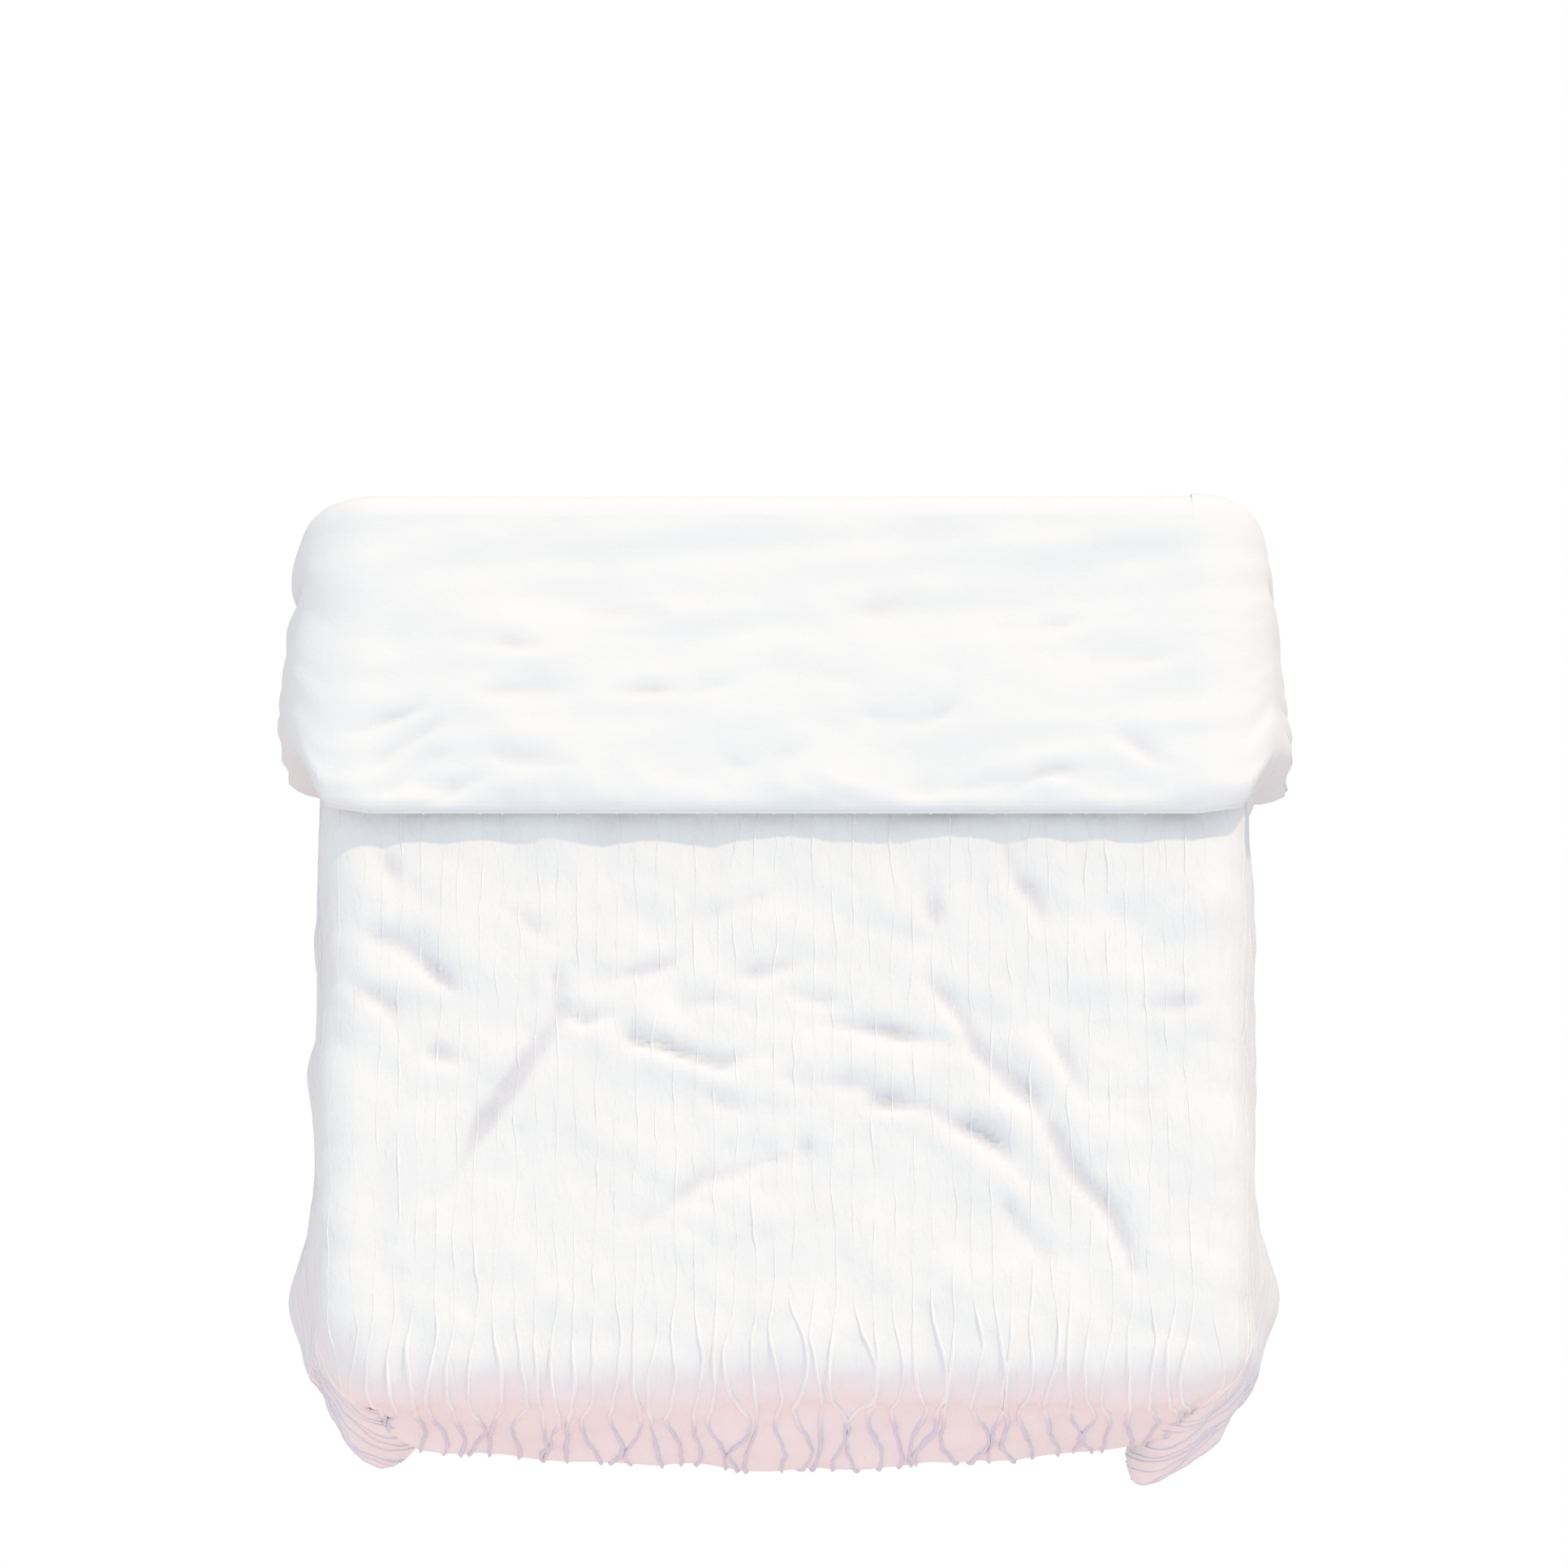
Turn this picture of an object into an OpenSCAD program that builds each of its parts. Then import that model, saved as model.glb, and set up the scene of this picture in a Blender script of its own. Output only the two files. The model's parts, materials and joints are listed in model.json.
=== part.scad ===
// Quilted duvet lying over a mattress, its head end turned back on itself.
//
// Frame: the origin is the middle of the flat underside that rests on the mattress,
// +X is the right-hand side, +Y the head end and +Z up. All sizes are millimetres.
//
// The quilt is one thick layer built up, from the mattress outwards, of the cover's
// plain reverse, the insert's inner ticking, the down chambers, the insert's outer
// ticking and the cover's pintucked face. The turned-back end is the same layer
// upside down. A "depth" below is a height above the quilt's underside.

/* [Mattress] */
// Width of the mattress that the quilt covers
mattress_w = 1520; // [1350:10:1900]
// Rounding of the mattress's top edges
bend_r = 40; // [25:5:60]
// Rounding of the mattress's foot corners, seen from above
corner_r = 90; // [70:5:150]

/* [Quilt] */
// Loft of the quilt, from the reverse to the face
loft = 42; // [34:1:60]
// Length that lies flat on the mattress, from the foot bend to the fold
flat_len = 1490; // [1200:10:1700]
// Straight length of the side drops
side_drop = 330; // [260:5:420]
// Straight length of the foot drop
foot_drop = 300; // [240:5:400]
// Straight length of the hanging foot corners
corner_drop = 410; // [340:5:500]
// Lean of the hanging drops away from upright, in degrees
flare = 7; // [4:1:10]

/* [Turned-back end] */
// Length of the turned-back end, from the fold to its seam
flap_len = 530; // [400:10:620]
// How far the hanging wings draw back towards the fold at their lower edge
wing_draw = 170; // [60:10:200]
// Height between the two face panels, room for both rows of tucks
layer_gap = 12; // [12:1:18]

/* [Cloth] */
// Thickness of the cover's cloth, drawn thicker than real so that it is a solid
cover_t = 2; // [1.5:0.5:3]
// Thickness of the insert's ticking
ticking_t = 1; // [0.8:0.1:1.5]
// Clearance between one layer and the next
ply_gap = 0.3; // [0.2:0.1:0.5]

/* [Insert] */
// Chambers across the flat of the mattress
top_columns = 4; // [3:1:6]
// Thickness of a baffle wall
baffle_t = 1; // [0.8:0.1:2]

/* [Pintucks] */
// Distance from one tuck to the next
tuck_pitch = 34; // [26:1:70]
// Width of a tuck
tuck_w = 4; // [3:0.5:6]
// Height of a tuck
tuck_h = 5; // [3:0.5:5]

/* [Closure] */
// Number of buttons along the foot opening
button_count = 9; // [5:2:13]
// Diameter of a button
button_d = 18; // [14:1:24]
// Thickness of a button
button_t = 3; // [2.5:0.5:4]
// Diameter of the four sewing holes in a button
button_hole_d = 1.8; // [1.4:0.1:2.2]
// Depth of the button placket, up from the foot seam
placket_depth = 45; // [35:5:60]
// Width of the cotton tape of the ties and loops
tape_w = 8; // [6:1:10]
// Thickness of the cotton tape
tape_t = 1; // [0.8:0.1:1.2]
// Width of the blank care label
label_w = 35; // [25:5:45]
// Length of the blank care label
label_len = 50; // [35:5:70]

/* [Hidden] */

// Steps along each bend, and the clearance left where two bodies meet
BEND_STEPS = 8;
JOIN_GAP = 0.5;
LEFT = [1, 0, 0];
// Rows of chambers on the mattress and in the turned-back end
TOP_ROWS = 5;
FLAP_ROWS = 2;

// Depths of each layer: [lower, upper]
reverse_ply = [0, cover_t];
inner_ticking = [cover_t + ply_gap, cover_t + ply_gap + ticking_t];
face_ply = [loft - cover_t, loft];
outer_ticking = [loft - inner_ticking[1], loft - inner_ticking[0]];
down_ply = [inner_ticking[1] + ply_gap, outer_ticking[0] - ply_gap];

// Lines in plan
bend_x = mattress_w / 2 - bend_r;
foot_y = -flat_len / 2;
fold_y = flat_len / 2;
corner_x = mattress_w / 2 - corner_r;
corner_y = foot_y - bend_r + corner_r;
column_w = 2 * bend_x / top_columns;
row_len = (fold_y - corner_y) / TOP_ROWS;

// The fold turns about a line midway between the two layers
fold_z = loft + layer_gap / 2;
fold_r = bend_r + fold_z;
bend_angle = 90 - flare;

function reversed(list) = [for (i = [len(list) - 1:-1:0]) list[i]];
// Depth of a layer once it is turned upside down over the first
function turned(ply) = [2 * fold_z - ply[1], 2 * fold_z - ply[0]];
// Points round a bend; an angle of 0 is straight up
function bend_points(depth, from = 0, to = bend_angle) = [
    for (i = [0:BEND_STEPS]) let (a = from + (to - from) * i / BEND_STEPS)
        [(bend_r + depth) * sin(a), (bend_r + depth) * cos(a) - bend_r]
];
// A point down the drop
function drop_point(depth, down) =
    [(bend_r + depth) * sin(bend_angle), (bend_r + depth) * cos(bend_angle) - bend_r]
    + down * [sin(flare), -cos(flare)];
// Outline of a layer that lies flat, bends and hangs, seen along the mattress's edge
function edge_outline(ply, flat, down) = concat(
    [[-flat, ply[1]]], bend_points(ply[1]), [drop_point(ply[1], down), drop_point(ply[0], down)],
    reversed(bend_points(ply[0])), [[-flat, ply[0]]]
);
function arc(centre, r, from, to, steps = BEND_STEPS) = [
    for (i = [0:steps]) let (a = from + (to - from) * i / steps) centre + r * [cos(a), sin(a)]
];
// A curved strip between two radii
function arc_strip(centre, r_in, r_out, from, to) =
    concat(arc(centre, r_out, from, to), reversed(arc(centre, r_in, from, to)));

// Extrudes an outline drawn across a side edge, along Y
module along_y(from, to) translate([0, to, 0]) rotate([90, 0, 0]) linear_extrude(to - from) children();
// Puts a shape drawn for an edge that runs along Y, with +X outwards, at the foot
module at_foot() translate([0, foot_y, 0]) rotate([0, 0, -90]) children();
module at_right() translate([bend_x, 0, 0]) children();
module at_left() mirror(LEFT) at_right() children();
// Lays a shape on the drop: X becomes its outward normal and -Z its way down
module on_drop() at_right() translate([0, 0, -bend_r]) rotate([0, -flare, 0]) children();

// ---- the layer that lies on the mattress ----

module side_strip(ply, from, to) at_right() along_y(from, to) polygon(edge_outline(ply, 0, side_drop));
module foot_strip(ply, from, to)
    at_foot() along_y(from, to) polygon(edge_outline(ply, corner_y - foot_y, foot_drop));
module corner_sector(ply, reach = corner_r - bend_r)
    translate([corner_x, corner_y, 0]) rotate([0, 0, -90]) rotate_extrude(angle = 90)
        translate([corner_r - bend_r, 0]) polygon(edge_outline(ply, reach, corner_drop));

module main_layer(ply) {
    translate([-bend_x, corner_y, ply[0]])
        cube([2 * bend_x, fold_y - JOIN_GAP - corner_y, ply[1] - ply[0]]);
    side_strip(ply, corner_y, fold_y - JOIN_GAP);
    mirror(LEFT) side_strip(ply, corner_y, fold_y - JOIN_GAP);
    foot_strip(ply, -corner_x, corner_x);
    corner_sector(ply);
    mirror(LEFT) corner_sector(ply);
}
module main_face() color("white") main_layer(face_ply);
module main_reverse() color("whitesmoke") main_layer(reverse_ply);
module insert_shell() color("ivory") {
    main_layer(inner_ticking);
    main_layer(outer_ticking);
}

// Baffles stand between the two tickings
baffle_ply = [inner_ticking[1], outer_ticking[0]];
chamber_inset = baffle_t / 2 + ply_gap;
function row_y(i) = corner_y + row_len * i;
function column_x(i) = -bend_x + column_w * i;
// The outermost walls stand just inside the bends
wall_inset = baffle_t / 2 + ply_gap;
function wall_x(i) = i == 0 ? -bend_x + wall_inset : i == top_columns ? bend_x - wall_inset : column_x(i);

module baffle_walls() color("gainsboro") {
    height = baffle_ply[1] - baffle_ply[0];
    for (i = [0:top_columns])
        translate([wall_x(i) - baffle_t / 2, corner_y - baffle_t / 2, baffle_ply[0]])
            cube([baffle_t, fold_y - JOIN_GAP - corner_y + baffle_t / 2, height]);
    for (i = [0:TOP_ROWS - 1])
        translate([wall_x(0) - baffle_t / 2, row_y(i) - baffle_t / 2, baffle_ply[0]])
            cube([wall_x(top_columns) - wall_x(0) + baffle_t, baffle_t, height]);
}
module top_chamber(row, column)
    translate([wall_x(column) + chamber_inset, row_y(row) + chamber_inset, down_ply[0]])
        cube([wall_x(column + 1) - wall_x(column) - 2 * chamber_inset, row_len - 2 * chamber_inset,
              down_ply[1] - down_ply[0]]);
module down_row(row) color("snow") for (column = [0:top_columns - 1]) top_chamber(row, column);

module side_down() color("snow")
    for (row = [0:TOP_ROWS - 1])
        at_right() along_y(row_y(row) + chamber_inset, row_y(row + 1) - chamber_inset)
            polygon(edge_outline(down_ply, 0, side_drop));
module foot_down() color("snow")
    for (column = [0:top_columns - 1]) {
        from = max(column_x(column), -corner_x) + chamber_inset;
        to = min(column_x(column + 1), corner_x) - chamber_inset;
        at_foot() along_y(from, to)
            polygon(edge_outline(down_ply, corner_y - foot_y - chamber_inset, foot_drop));
    }
// Each corner chamber is cut clear of the walls and the chambers beside it
module corner_down() color("snow") intersection() {
    corner_sector(down_ply);
    size = 2 * corner_drop;
    translate([corner_x + chamber_inset, corner_y - chamber_inset - size, loft - size])
        cube(size);
}

// ---- pintucks ----

tuck_ply = [loft, loft + tuck_h];
tuck_count = floor((2 * corner_x - tuck_w) / tuck_pitch) + 1;
tuck_x0 = -(tuck_count - 1) * tuck_pitch / 2;
side_tuck_count = floor((side_drop - tuck_w) / tuck_pitch);

module pintucks() color("white") {
    for (i = [0:tuck_count - 1])
        at_foot() along_y(tuck_x0 + i * tuck_pitch - tuck_w / 2, tuck_x0 + i * tuck_pitch + tuck_w / 2)
            polygon(edge_outline(tuck_ply, flat_len - JOIN_GAP, foot_drop));
    for (side = [0, 1], i = [1:side_tuck_count])
        mirror(side * LEFT) on_drop()
            translate([bend_r + loft, corner_y, -i * tuck_pitch - tuck_w / 2])
                cube([tuck_h, fold_y - JOIN_GAP - corner_y, tuck_w]);
}

// ---- seams: the cover's edge turns round in a half tube ----

function seam_outline(down, plies = [loft / 2 - cover_t, loft / 2]) =
    arc_strip(drop_point(loft / 2, down), plies[0], plies[1], flare, flare - 180);

module side_seam() color("white")
    at_right() along_y(corner_y, fold_y - JOIN_GAP) polygon(seam_outline(side_drop));
module foot_seam() color("white") {
    at_foot() along_y(-corner_x, corner_x) polygon(seam_outline(foot_drop));
    for (side = [0, 1])
        mirror(side * LEFT) translate([corner_x, corner_y, 0]) rotate([0, 0, -90])
            rotate_extrude(angle = 90) translate([corner_r - bend_r, 0]) polygon(seam_outline(corner_drop));
}

// ---- closure at the foot, on the side that faces the mattress ----

placket_ply = [-button_t - 2 * ply_gap - cover_t, -button_t - 2 * ply_gap];
button_pitch = 2 * corner_x / button_count;

// The under placket hangs just inside the foot drop, with the buttons between them
module on_foot_drop()
    translate([0, foot_y, -bend_r]) rotate([0, 0, -90]) rotate([0, -flare, 0]) children();
module foot_placket() color("whitesmoke")
    on_foot_drop() translate([bend_r + placket_ply[0], -corner_x, -foot_drop])
        cube([cover_t, 2 * corner_x, placket_depth]);
module button() difference() {
    union() {
        cylinder(d = button_d, h = button_t * 0.6, $fn = 48);
        difference() {
            cylinder(d = button_d, h = button_t, $fn = 48);
            translate([0, 0, -1]) cylinder(d = button_d * 0.72, h = button_t + 2, $fn = 48);
        }
    }
    for (a = [45:90:315])
        rotate([0, 0, a]) translate([button_d * 0.13, 0, -1])
            cylinder(d = button_hole_d, h = button_t + 2, $fn = 24);
}
module buttons() color("linen")
    for (i = [0:button_count - 1])
        on_foot_drop()
            translate([bend_r - ply_gap, -corner_x + (i + 0.5) * button_pitch,
                       placket_depth / 2 - foot_drop])
                rotate([0, -90, 0]) button();

// ---- ties in the cover and loops on the insert, inside the seams ----

loop_len = 26;
tie_tail = 90;
// A loop of tape whose hole takes the tie with room to spare
module loop_at() rotate([90, 0, 90]) translate([0, 0, -tape_w / 2]) linear_extrude(tape_w)
    difference() {
        square([loop_len, 5 * tape_t], center = true);
        square([loop_len - 2 * tape_t, 3 * tape_t], center = true);
    }
module tie_at() cube([tie_tail, tape_w, tape_t], center = true);
// Both lie in the hollow of a seam that runs along Y, at a distance down the drop
module seam_hollow(y, down) on_drop()
    translate([bend_r + loft / 2, y, -down - loft / 4]) rotate([0, 0, 90]) children();
tie_inset = 110;
module corner_ties() color("white") for (side = [0, 1])
    mirror(side * LEFT) seam_hollow(corner_y + tie_inset, side_drop) tie_at();
module insert_loops() color("ivory") for (side = [0, 1])
    mirror(side * LEFT) seam_hollow(corner_y + tie_inset, side_drop) loop_at();

module care_label() color("white")
    mirror(LEFT) on_drop() translate([bend_r - ply_gap - tape_t, corner_y + row_len, -side_drop])
        cube([tape_t, label_w, label_len]);

// ---- the fold at the head: two quarter turns, the lower on the mattress's side ----

// Quarter strip round the fold line: quarter 1 starts below it, quarter 2 ends above it
function quarter(ply, n, centre = [0, 0]) =
    arc_strip(centre, fold_z - ply[1], fold_z - ply[0], n == 1 ? 180 : 0, 90);

// In these outlines X is the distance from the bend's centre line and Y runs to the head
module top_fold(ply, n) translate([bend_x, fold_y, fold_z]) rotate([0, -90, 0])
    linear_extrude(2 * bend_x) polygon(quarter(ply, n));
module corner_fold(ply, n) at_right() translate([0, fold_y, -bend_r]) rotate([-90, -90, 0])
    rotate_extrude(angle = bend_angle) polygon(quarter(ply, n, [fold_r, 0]));
module drop_fold(ply, n) on_drop() translate([fold_r, fold_y, 0]) rotate([180, 0, 0])
    linear_extrude(side_drop) mirror([0, 1]) polygon(quarter(ply, n));

module lower_fold(ply) {
    top_fold(ply, 1);
    for (side = [0, 1]) mirror(side * LEFT) {
        corner_fold(ply, 1);
        drop_fold(ply, 1);
    }
}
module fold_lower_cover() color("white") {
    lower_fold(reverse_ply);
    lower_fold(face_ply);
}
module fold_lower_down() color("snow") lower_fold(down_ply);
module fold_upper_cover() color("white") {
    top_fold(reverse_ply, 2);
    top_fold(face_ply, 2);
}
module fold_upper_down() color("snow") top_fold(down_ply, 2);

// ---- the turned-back end ----

free_y = fold_y - flap_len;
flap_row_len = (flap_len - JOIN_GAP) / FLAP_ROWS;

module flap_slab(ply, x0, x1, from, to) {
    z = turned(ply);
    translate([x0, from, z[0]]) cube([x1 - x0, to - from, z[1] - z[0]]);
}
module flap_sheet(ply) flap_slab(ply, -bend_x, bend_x, free_y, fold_y - JOIN_GAP);
module flap_face() color("white") flap_sheet(face_ply);
module flap_reverse() color("whitesmoke") flap_sheet(reverse_ply);
module flap_shell() color("ivory") {
    flap_sheet(inner_ticking);
    flap_sheet(outer_ticking);
}
module flap_baffles() color("gainsboro") {
    for (i = [0:top_columns])
        flap_slab(baffle_ply, wall_x(i) - baffle_t / 2, wall_x(i) + baffle_t / 2,
                  free_y, fold_y - JOIN_GAP);
    middle = free_y + flap_row_len;
    flap_slab(baffle_ply, wall_x(0) - baffle_t / 2, wall_x(top_columns) + baffle_t / 2,
              middle - baffle_t / 2, middle + baffle_t / 2);
}
module flap_down(row) color("snow")
    for (column = [0:top_columns - 1])
        flap_slab(down_ply, wall_x(column) + chamber_inset, wall_x(column + 1) - chamber_inset,
                  free_y + flap_row_len * row + chamber_inset,
                  free_y + flap_row_len * (row + 1) - chamber_inset);
module head_seam() color("whitesmoke")
    translate([bend_x, free_y, 2 * fold_z - loft / 2]) rotate([0, -90, 0])
        linear_extrude(2 * bend_x) polygon(arc_strip([0, 0], loft / 2 - cover_t, loft / 2, 180, 360));
module flap_pintucks() color("white")
    for (i = [0:tuck_count - 1])
        flap_slab(tuck_ply, tuck_x0 + i * tuck_pitch - tuck_w / 2, tuck_x0 + i * tuck_pitch + tuck_w / 2,
                  free_y, fold_y - JOIN_GAP);

// ---- the bends between the turned-back end and its wings ----

function bend_outline(ply) = concat(bend_points(ply[1]), reversed(bend_points(ply[0])));
module wing_bend(ply) {
    at_right() along_y(free_y, fold_y - JOIN_GAP) polygon(bend_outline(turned(ply)));
    corner_fold(ply, 2);
}
// The head seam carried round the bend
module bend_seam() at_right() translate([0, free_y - ply_gap, -bend_r]) rotate([-90, -90, 0])
    rotate_extrude(angle = bend_angle)
        polygon(arc_strip([wing_depth, 0], loft / 2 - cover_t, loft / 2, 180, 360));
module bend_cover() color("whitesmoke") {
    wing_bend(reverse_ply);
    wing_bend(face_ply);
    bend_seam();
}
module bend_down() color("snow") wing_bend(down_ply);

// ---- the wings that hang beside the mattress ----

// Where a line across the turned-back end comes to, drawn back towards the fold as it hangs
function drawn_y(y, down) = fold_y - (fold_y - y) * (1 - wing_draw / flap_len * down / side_drop);
function wing_outline(from, to, inset = 0) = [
    [from + inset, -inset], [to - inset, -inset],
    [drawn_y(to, side_drop) - inset, -side_drop + inset], [drawn_y(from, side_drop) + inset, -side_drop + inset]
];
module wing_sheet(ply, from = free_y, to = fold_y - JOIN_GAP, inset = 0) {
    depth = turned(ply);
    on_drop() translate([bend_r + depth[0], 0, 0]) rotate([90, 0, 90])
        linear_extrude(depth[1] - depth[0]) polygon(wing_outline(from, to, inset));
}
module wing_face() color("white") wing_sheet(face_ply);
module wing_reverse() color("whitesmoke") wing_sheet(reverse_ply);
module wing_shell() color("ivory") {
    wing_sheet(inner_ticking);
    wing_sheet(outer_ticking);
}
module wing_down() color("snow") for (row = [0:FLAP_ROWS - 1])
    wing_sheet(down_ply, free_y + flap_row_len * row, free_y + flap_row_len * (row + 1), chamber_inset);

// The lower seam, and the seam up the slanting free edge
wing_depth = bend_r + 2 * fold_z - loft / 2;
wing_low_y = drawn_y(free_y, side_drop);
slant = atan2(wing_draw, side_drop);
module half_tube(length) linear_extrude(length)
    polygon(arc_strip([0, 0], loft / 2 - cover_t, loft / 2, 180, 360));
module wing_seam() color("whitesmoke") on_drop() translate([wing_depth, 0, 0]) {
    translate([0, fold_y - JOIN_GAP, -side_drop]) rotate([90, 0, 0])
        half_tube(fold_y - JOIN_GAP - wing_low_y);
    translate([0, free_y, 0]) rotate([slant, 0, 0]) translate([0, 0, -side_drop / cos(slant)])
        half_tube(side_drop / cos(slant));
}
module wing_fold() color("whitesmoke") {
    drop_fold(reverse_ply, 2);
    drop_fold(face_ply, 2);
    drop_fold(down_ply, 2);
}
module wing_hollow() on_drop()
    translate([wing_depth, wing_low_y + tie_inset, -side_drop - loft / 4]) rotate([0, 0, 90]) children();
module wing_tie() color("white") wing_hollow() tie_at();
module wing_loop() color("ivory") wing_hollow() loop_at();

main_face();
main_reverse();
insert_shell();
baffle_walls();
down_row(0);  // down_row_1
down_row(1);  // down_row_2
down_row(2);  // down_row_3
down_row(3);  // down_row_4
down_row(4);  // down_row_5
mirror(LEFT) side_down();  // side_down_left
side_down();  // side_down_right
foot_down();
mirror(LEFT) corner_down();  // corner_down_left
corner_down();  // corner_down_right
pintucks();
mirror(LEFT) side_seam();  // side_seam_left
side_seam();  // side_seam_right
foot_seam();
foot_placket();
buttons();
corner_ties();
insert_loops();
care_label();
fold_lower_cover();
fold_lower_down();
flap_face();
flap_reverse();
flap_shell();
flap_baffles();
flap_down(0);  // flap_down_1
flap_down(1);  // flap_down_2
head_seam();
flap_pintucks();
fold_upper_cover();
fold_upper_down();
mirror(LEFT) bend_cover();  // left_bend_cover
mirror(LEFT) bend_down();  // left_bend_down
bend_cover();  // right_bend_cover
bend_down();  // right_bend_down
mirror(LEFT) wing_face();  // left_wing_face
mirror(LEFT) wing_reverse();  // left_wing_reverse
mirror(LEFT) wing_shell();  // left_wing_shell
mirror(LEFT) wing_down();  // left_wing_down
mirror(LEFT) wing_seam();  // left_wing_seam
mirror(LEFT) wing_fold();  // left_wing_fold
mirror(LEFT) wing_tie();  // left_wing_tie
mirror(LEFT) wing_loop();  // left_wing_loop
wing_face();  // right_wing_face
wing_reverse();  // right_wing_reverse
wing_shell();  // right_wing_shell
wing_down();  // right_wing_down
wing_seam();  // right_wing_seam
wing_fold();  // right_wing_fold
wing_tie();  // right_wing_tie
wing_loop();  // right_wing_loop
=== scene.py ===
# Duvet in a pintucked cotton cover, lying as it does over a mattress, with its head end
# turned back over itself. All cloth is laid out flat first, in metres across and along,
# and every panel, tuck, hem and stitch is then bent from that one layout.
import json
import math
import bpy
import bmesh
import numpy as np
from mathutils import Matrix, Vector


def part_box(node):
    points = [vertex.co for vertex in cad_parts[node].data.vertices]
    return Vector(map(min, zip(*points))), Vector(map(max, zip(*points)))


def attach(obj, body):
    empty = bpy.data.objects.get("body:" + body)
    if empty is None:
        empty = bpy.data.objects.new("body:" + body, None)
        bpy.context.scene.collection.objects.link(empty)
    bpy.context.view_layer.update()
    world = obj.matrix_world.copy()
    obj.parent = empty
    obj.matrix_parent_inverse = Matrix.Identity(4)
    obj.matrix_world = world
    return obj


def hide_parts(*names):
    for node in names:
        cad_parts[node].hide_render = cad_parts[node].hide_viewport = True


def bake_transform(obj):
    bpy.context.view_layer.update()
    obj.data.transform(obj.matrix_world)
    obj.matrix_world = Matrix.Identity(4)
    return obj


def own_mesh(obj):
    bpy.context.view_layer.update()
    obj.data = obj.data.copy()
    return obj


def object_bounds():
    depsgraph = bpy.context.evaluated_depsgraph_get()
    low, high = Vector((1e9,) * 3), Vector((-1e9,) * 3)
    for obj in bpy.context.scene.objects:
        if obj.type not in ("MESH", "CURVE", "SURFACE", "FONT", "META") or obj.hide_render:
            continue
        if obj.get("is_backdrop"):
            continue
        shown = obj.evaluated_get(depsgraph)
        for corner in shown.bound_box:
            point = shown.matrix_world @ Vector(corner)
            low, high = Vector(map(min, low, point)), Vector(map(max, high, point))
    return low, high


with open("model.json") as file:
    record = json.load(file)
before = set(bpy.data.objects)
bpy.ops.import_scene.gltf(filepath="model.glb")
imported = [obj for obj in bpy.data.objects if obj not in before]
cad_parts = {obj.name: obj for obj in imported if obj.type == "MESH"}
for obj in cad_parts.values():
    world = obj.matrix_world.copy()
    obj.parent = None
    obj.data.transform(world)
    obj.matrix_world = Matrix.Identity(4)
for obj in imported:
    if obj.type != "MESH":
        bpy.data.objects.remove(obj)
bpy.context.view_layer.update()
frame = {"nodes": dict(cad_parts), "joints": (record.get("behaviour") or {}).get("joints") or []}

# ---- where the frame puts things ----

jointAt = {j["name"]: j["pos_m"] for j in frame["joints"]}
foldY, foldZ = jointAt["turn_back_fold"][1:]  # the line that the head end is turned about
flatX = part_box("head_seam")[1].x  # the side bends begin here
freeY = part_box("flap_face")[0].y  # free edge of the turned-back end
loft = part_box("down_row_1")[1].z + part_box("down_row_1")[0].z
footY = -foldY

quilt = {
    "mattressRound": 0.04,
    "cornerRound": 0.09,
    "lean": math.radians(7),  # of the drops, away from upright
    "sideDrop": 0.33,
    "footDrop": 0.30,
    "edgeSoft": 0.042,  # the filling thins out over this width
    "edgeHalf": 0.0045,  # half of the sewn edge's thickness
    "cloth": 0.0016,
}

turnAngle = math.pi / 2 - quilt["lean"]
lowRadius = quilt["mattressRound"] + loft / 2
topRadius = quilt["mattressRound"] + 2 * foldZ - loft / 2
lowBend = lowRadius * turnAngle
topBend = topRadius * turnAngle
innerRound = quilt["cornerRound"] - quilt["mattressRound"]
cornerX, cornerY = flatX - innerRound, footY + innerRound
lowEdgeU = flatX + lowBend + quilt["sideDrop"]
lowEdgeV = footY - lowBend - quilt["footDrop"]
topEdgeU = flatX + topBend + quilt["sideDrop"]
flapLen = foldY - freeY
rollRadius = foldZ - loft / 2
rollLen = rollRadius * math.pi / 2

# ---- small tools ----


noise = {"waves": 11, "spread": (0.7, 1.7), "phase": 6.28, "bend": 0.8, "bendRate": 0.37, "level": 2.6}


def softNoise(x, y, size, seed):
    # A smooth, irregular field of about unit height, the same every time
    rng = np.random.default_rng(seed)
    total = np.zeros(np.broadcast(x, y).shape)
    for _ in range(noise["waves"]):
        angle, wave = rng.uniform(0, 2 * math.pi), size * rng.uniform(*noise["spread"])
        along = (x * math.cos(angle) + y * math.sin(angle)) * 2 * math.pi / wave
        start = along + rng.uniform(0, noise["phase"])
        swing = noise["bendRate"] * along + rng.uniform(0, noise["phase"])
        total += np.sin(start + noise["bend"] * np.sin(swing))
    return total / noise["level"]


def softCurve(x, keys, values):
    # A smooth curve through given points
    keys, values = np.asarray(keys, float), np.asarray(values, float)
    slope = np.gradient(values, keys, axis=0)
    i = np.clip(np.searchsorted(keys, x) - 1, 0, len(keys) - 2)
    h = keys[i + 1] - keys[i]
    t = np.clip((x - keys[i]) / h, 0, 1)
    if values.ndim == 2:
        h, t = h[..., None], t[..., None]
    return (
        (2 * t**3 - 3 * t**2 + 1) * values[i] + (t**3 - 2 * t**2 + t) * h * slope[i]
        + (3 * t**2 - 2 * t**3) * values[i + 1] + (t**3 - t**2) * h * slope[i + 1]
    )


def smoothStep(x, low, high):
    t = np.clip((x - low) / (high - low), 0, 1)
    return t * t * (3 - 2 * t)


def bump(x, middle, width):
    return np.exp(-(((x - middle) / width) ** 2))


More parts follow.
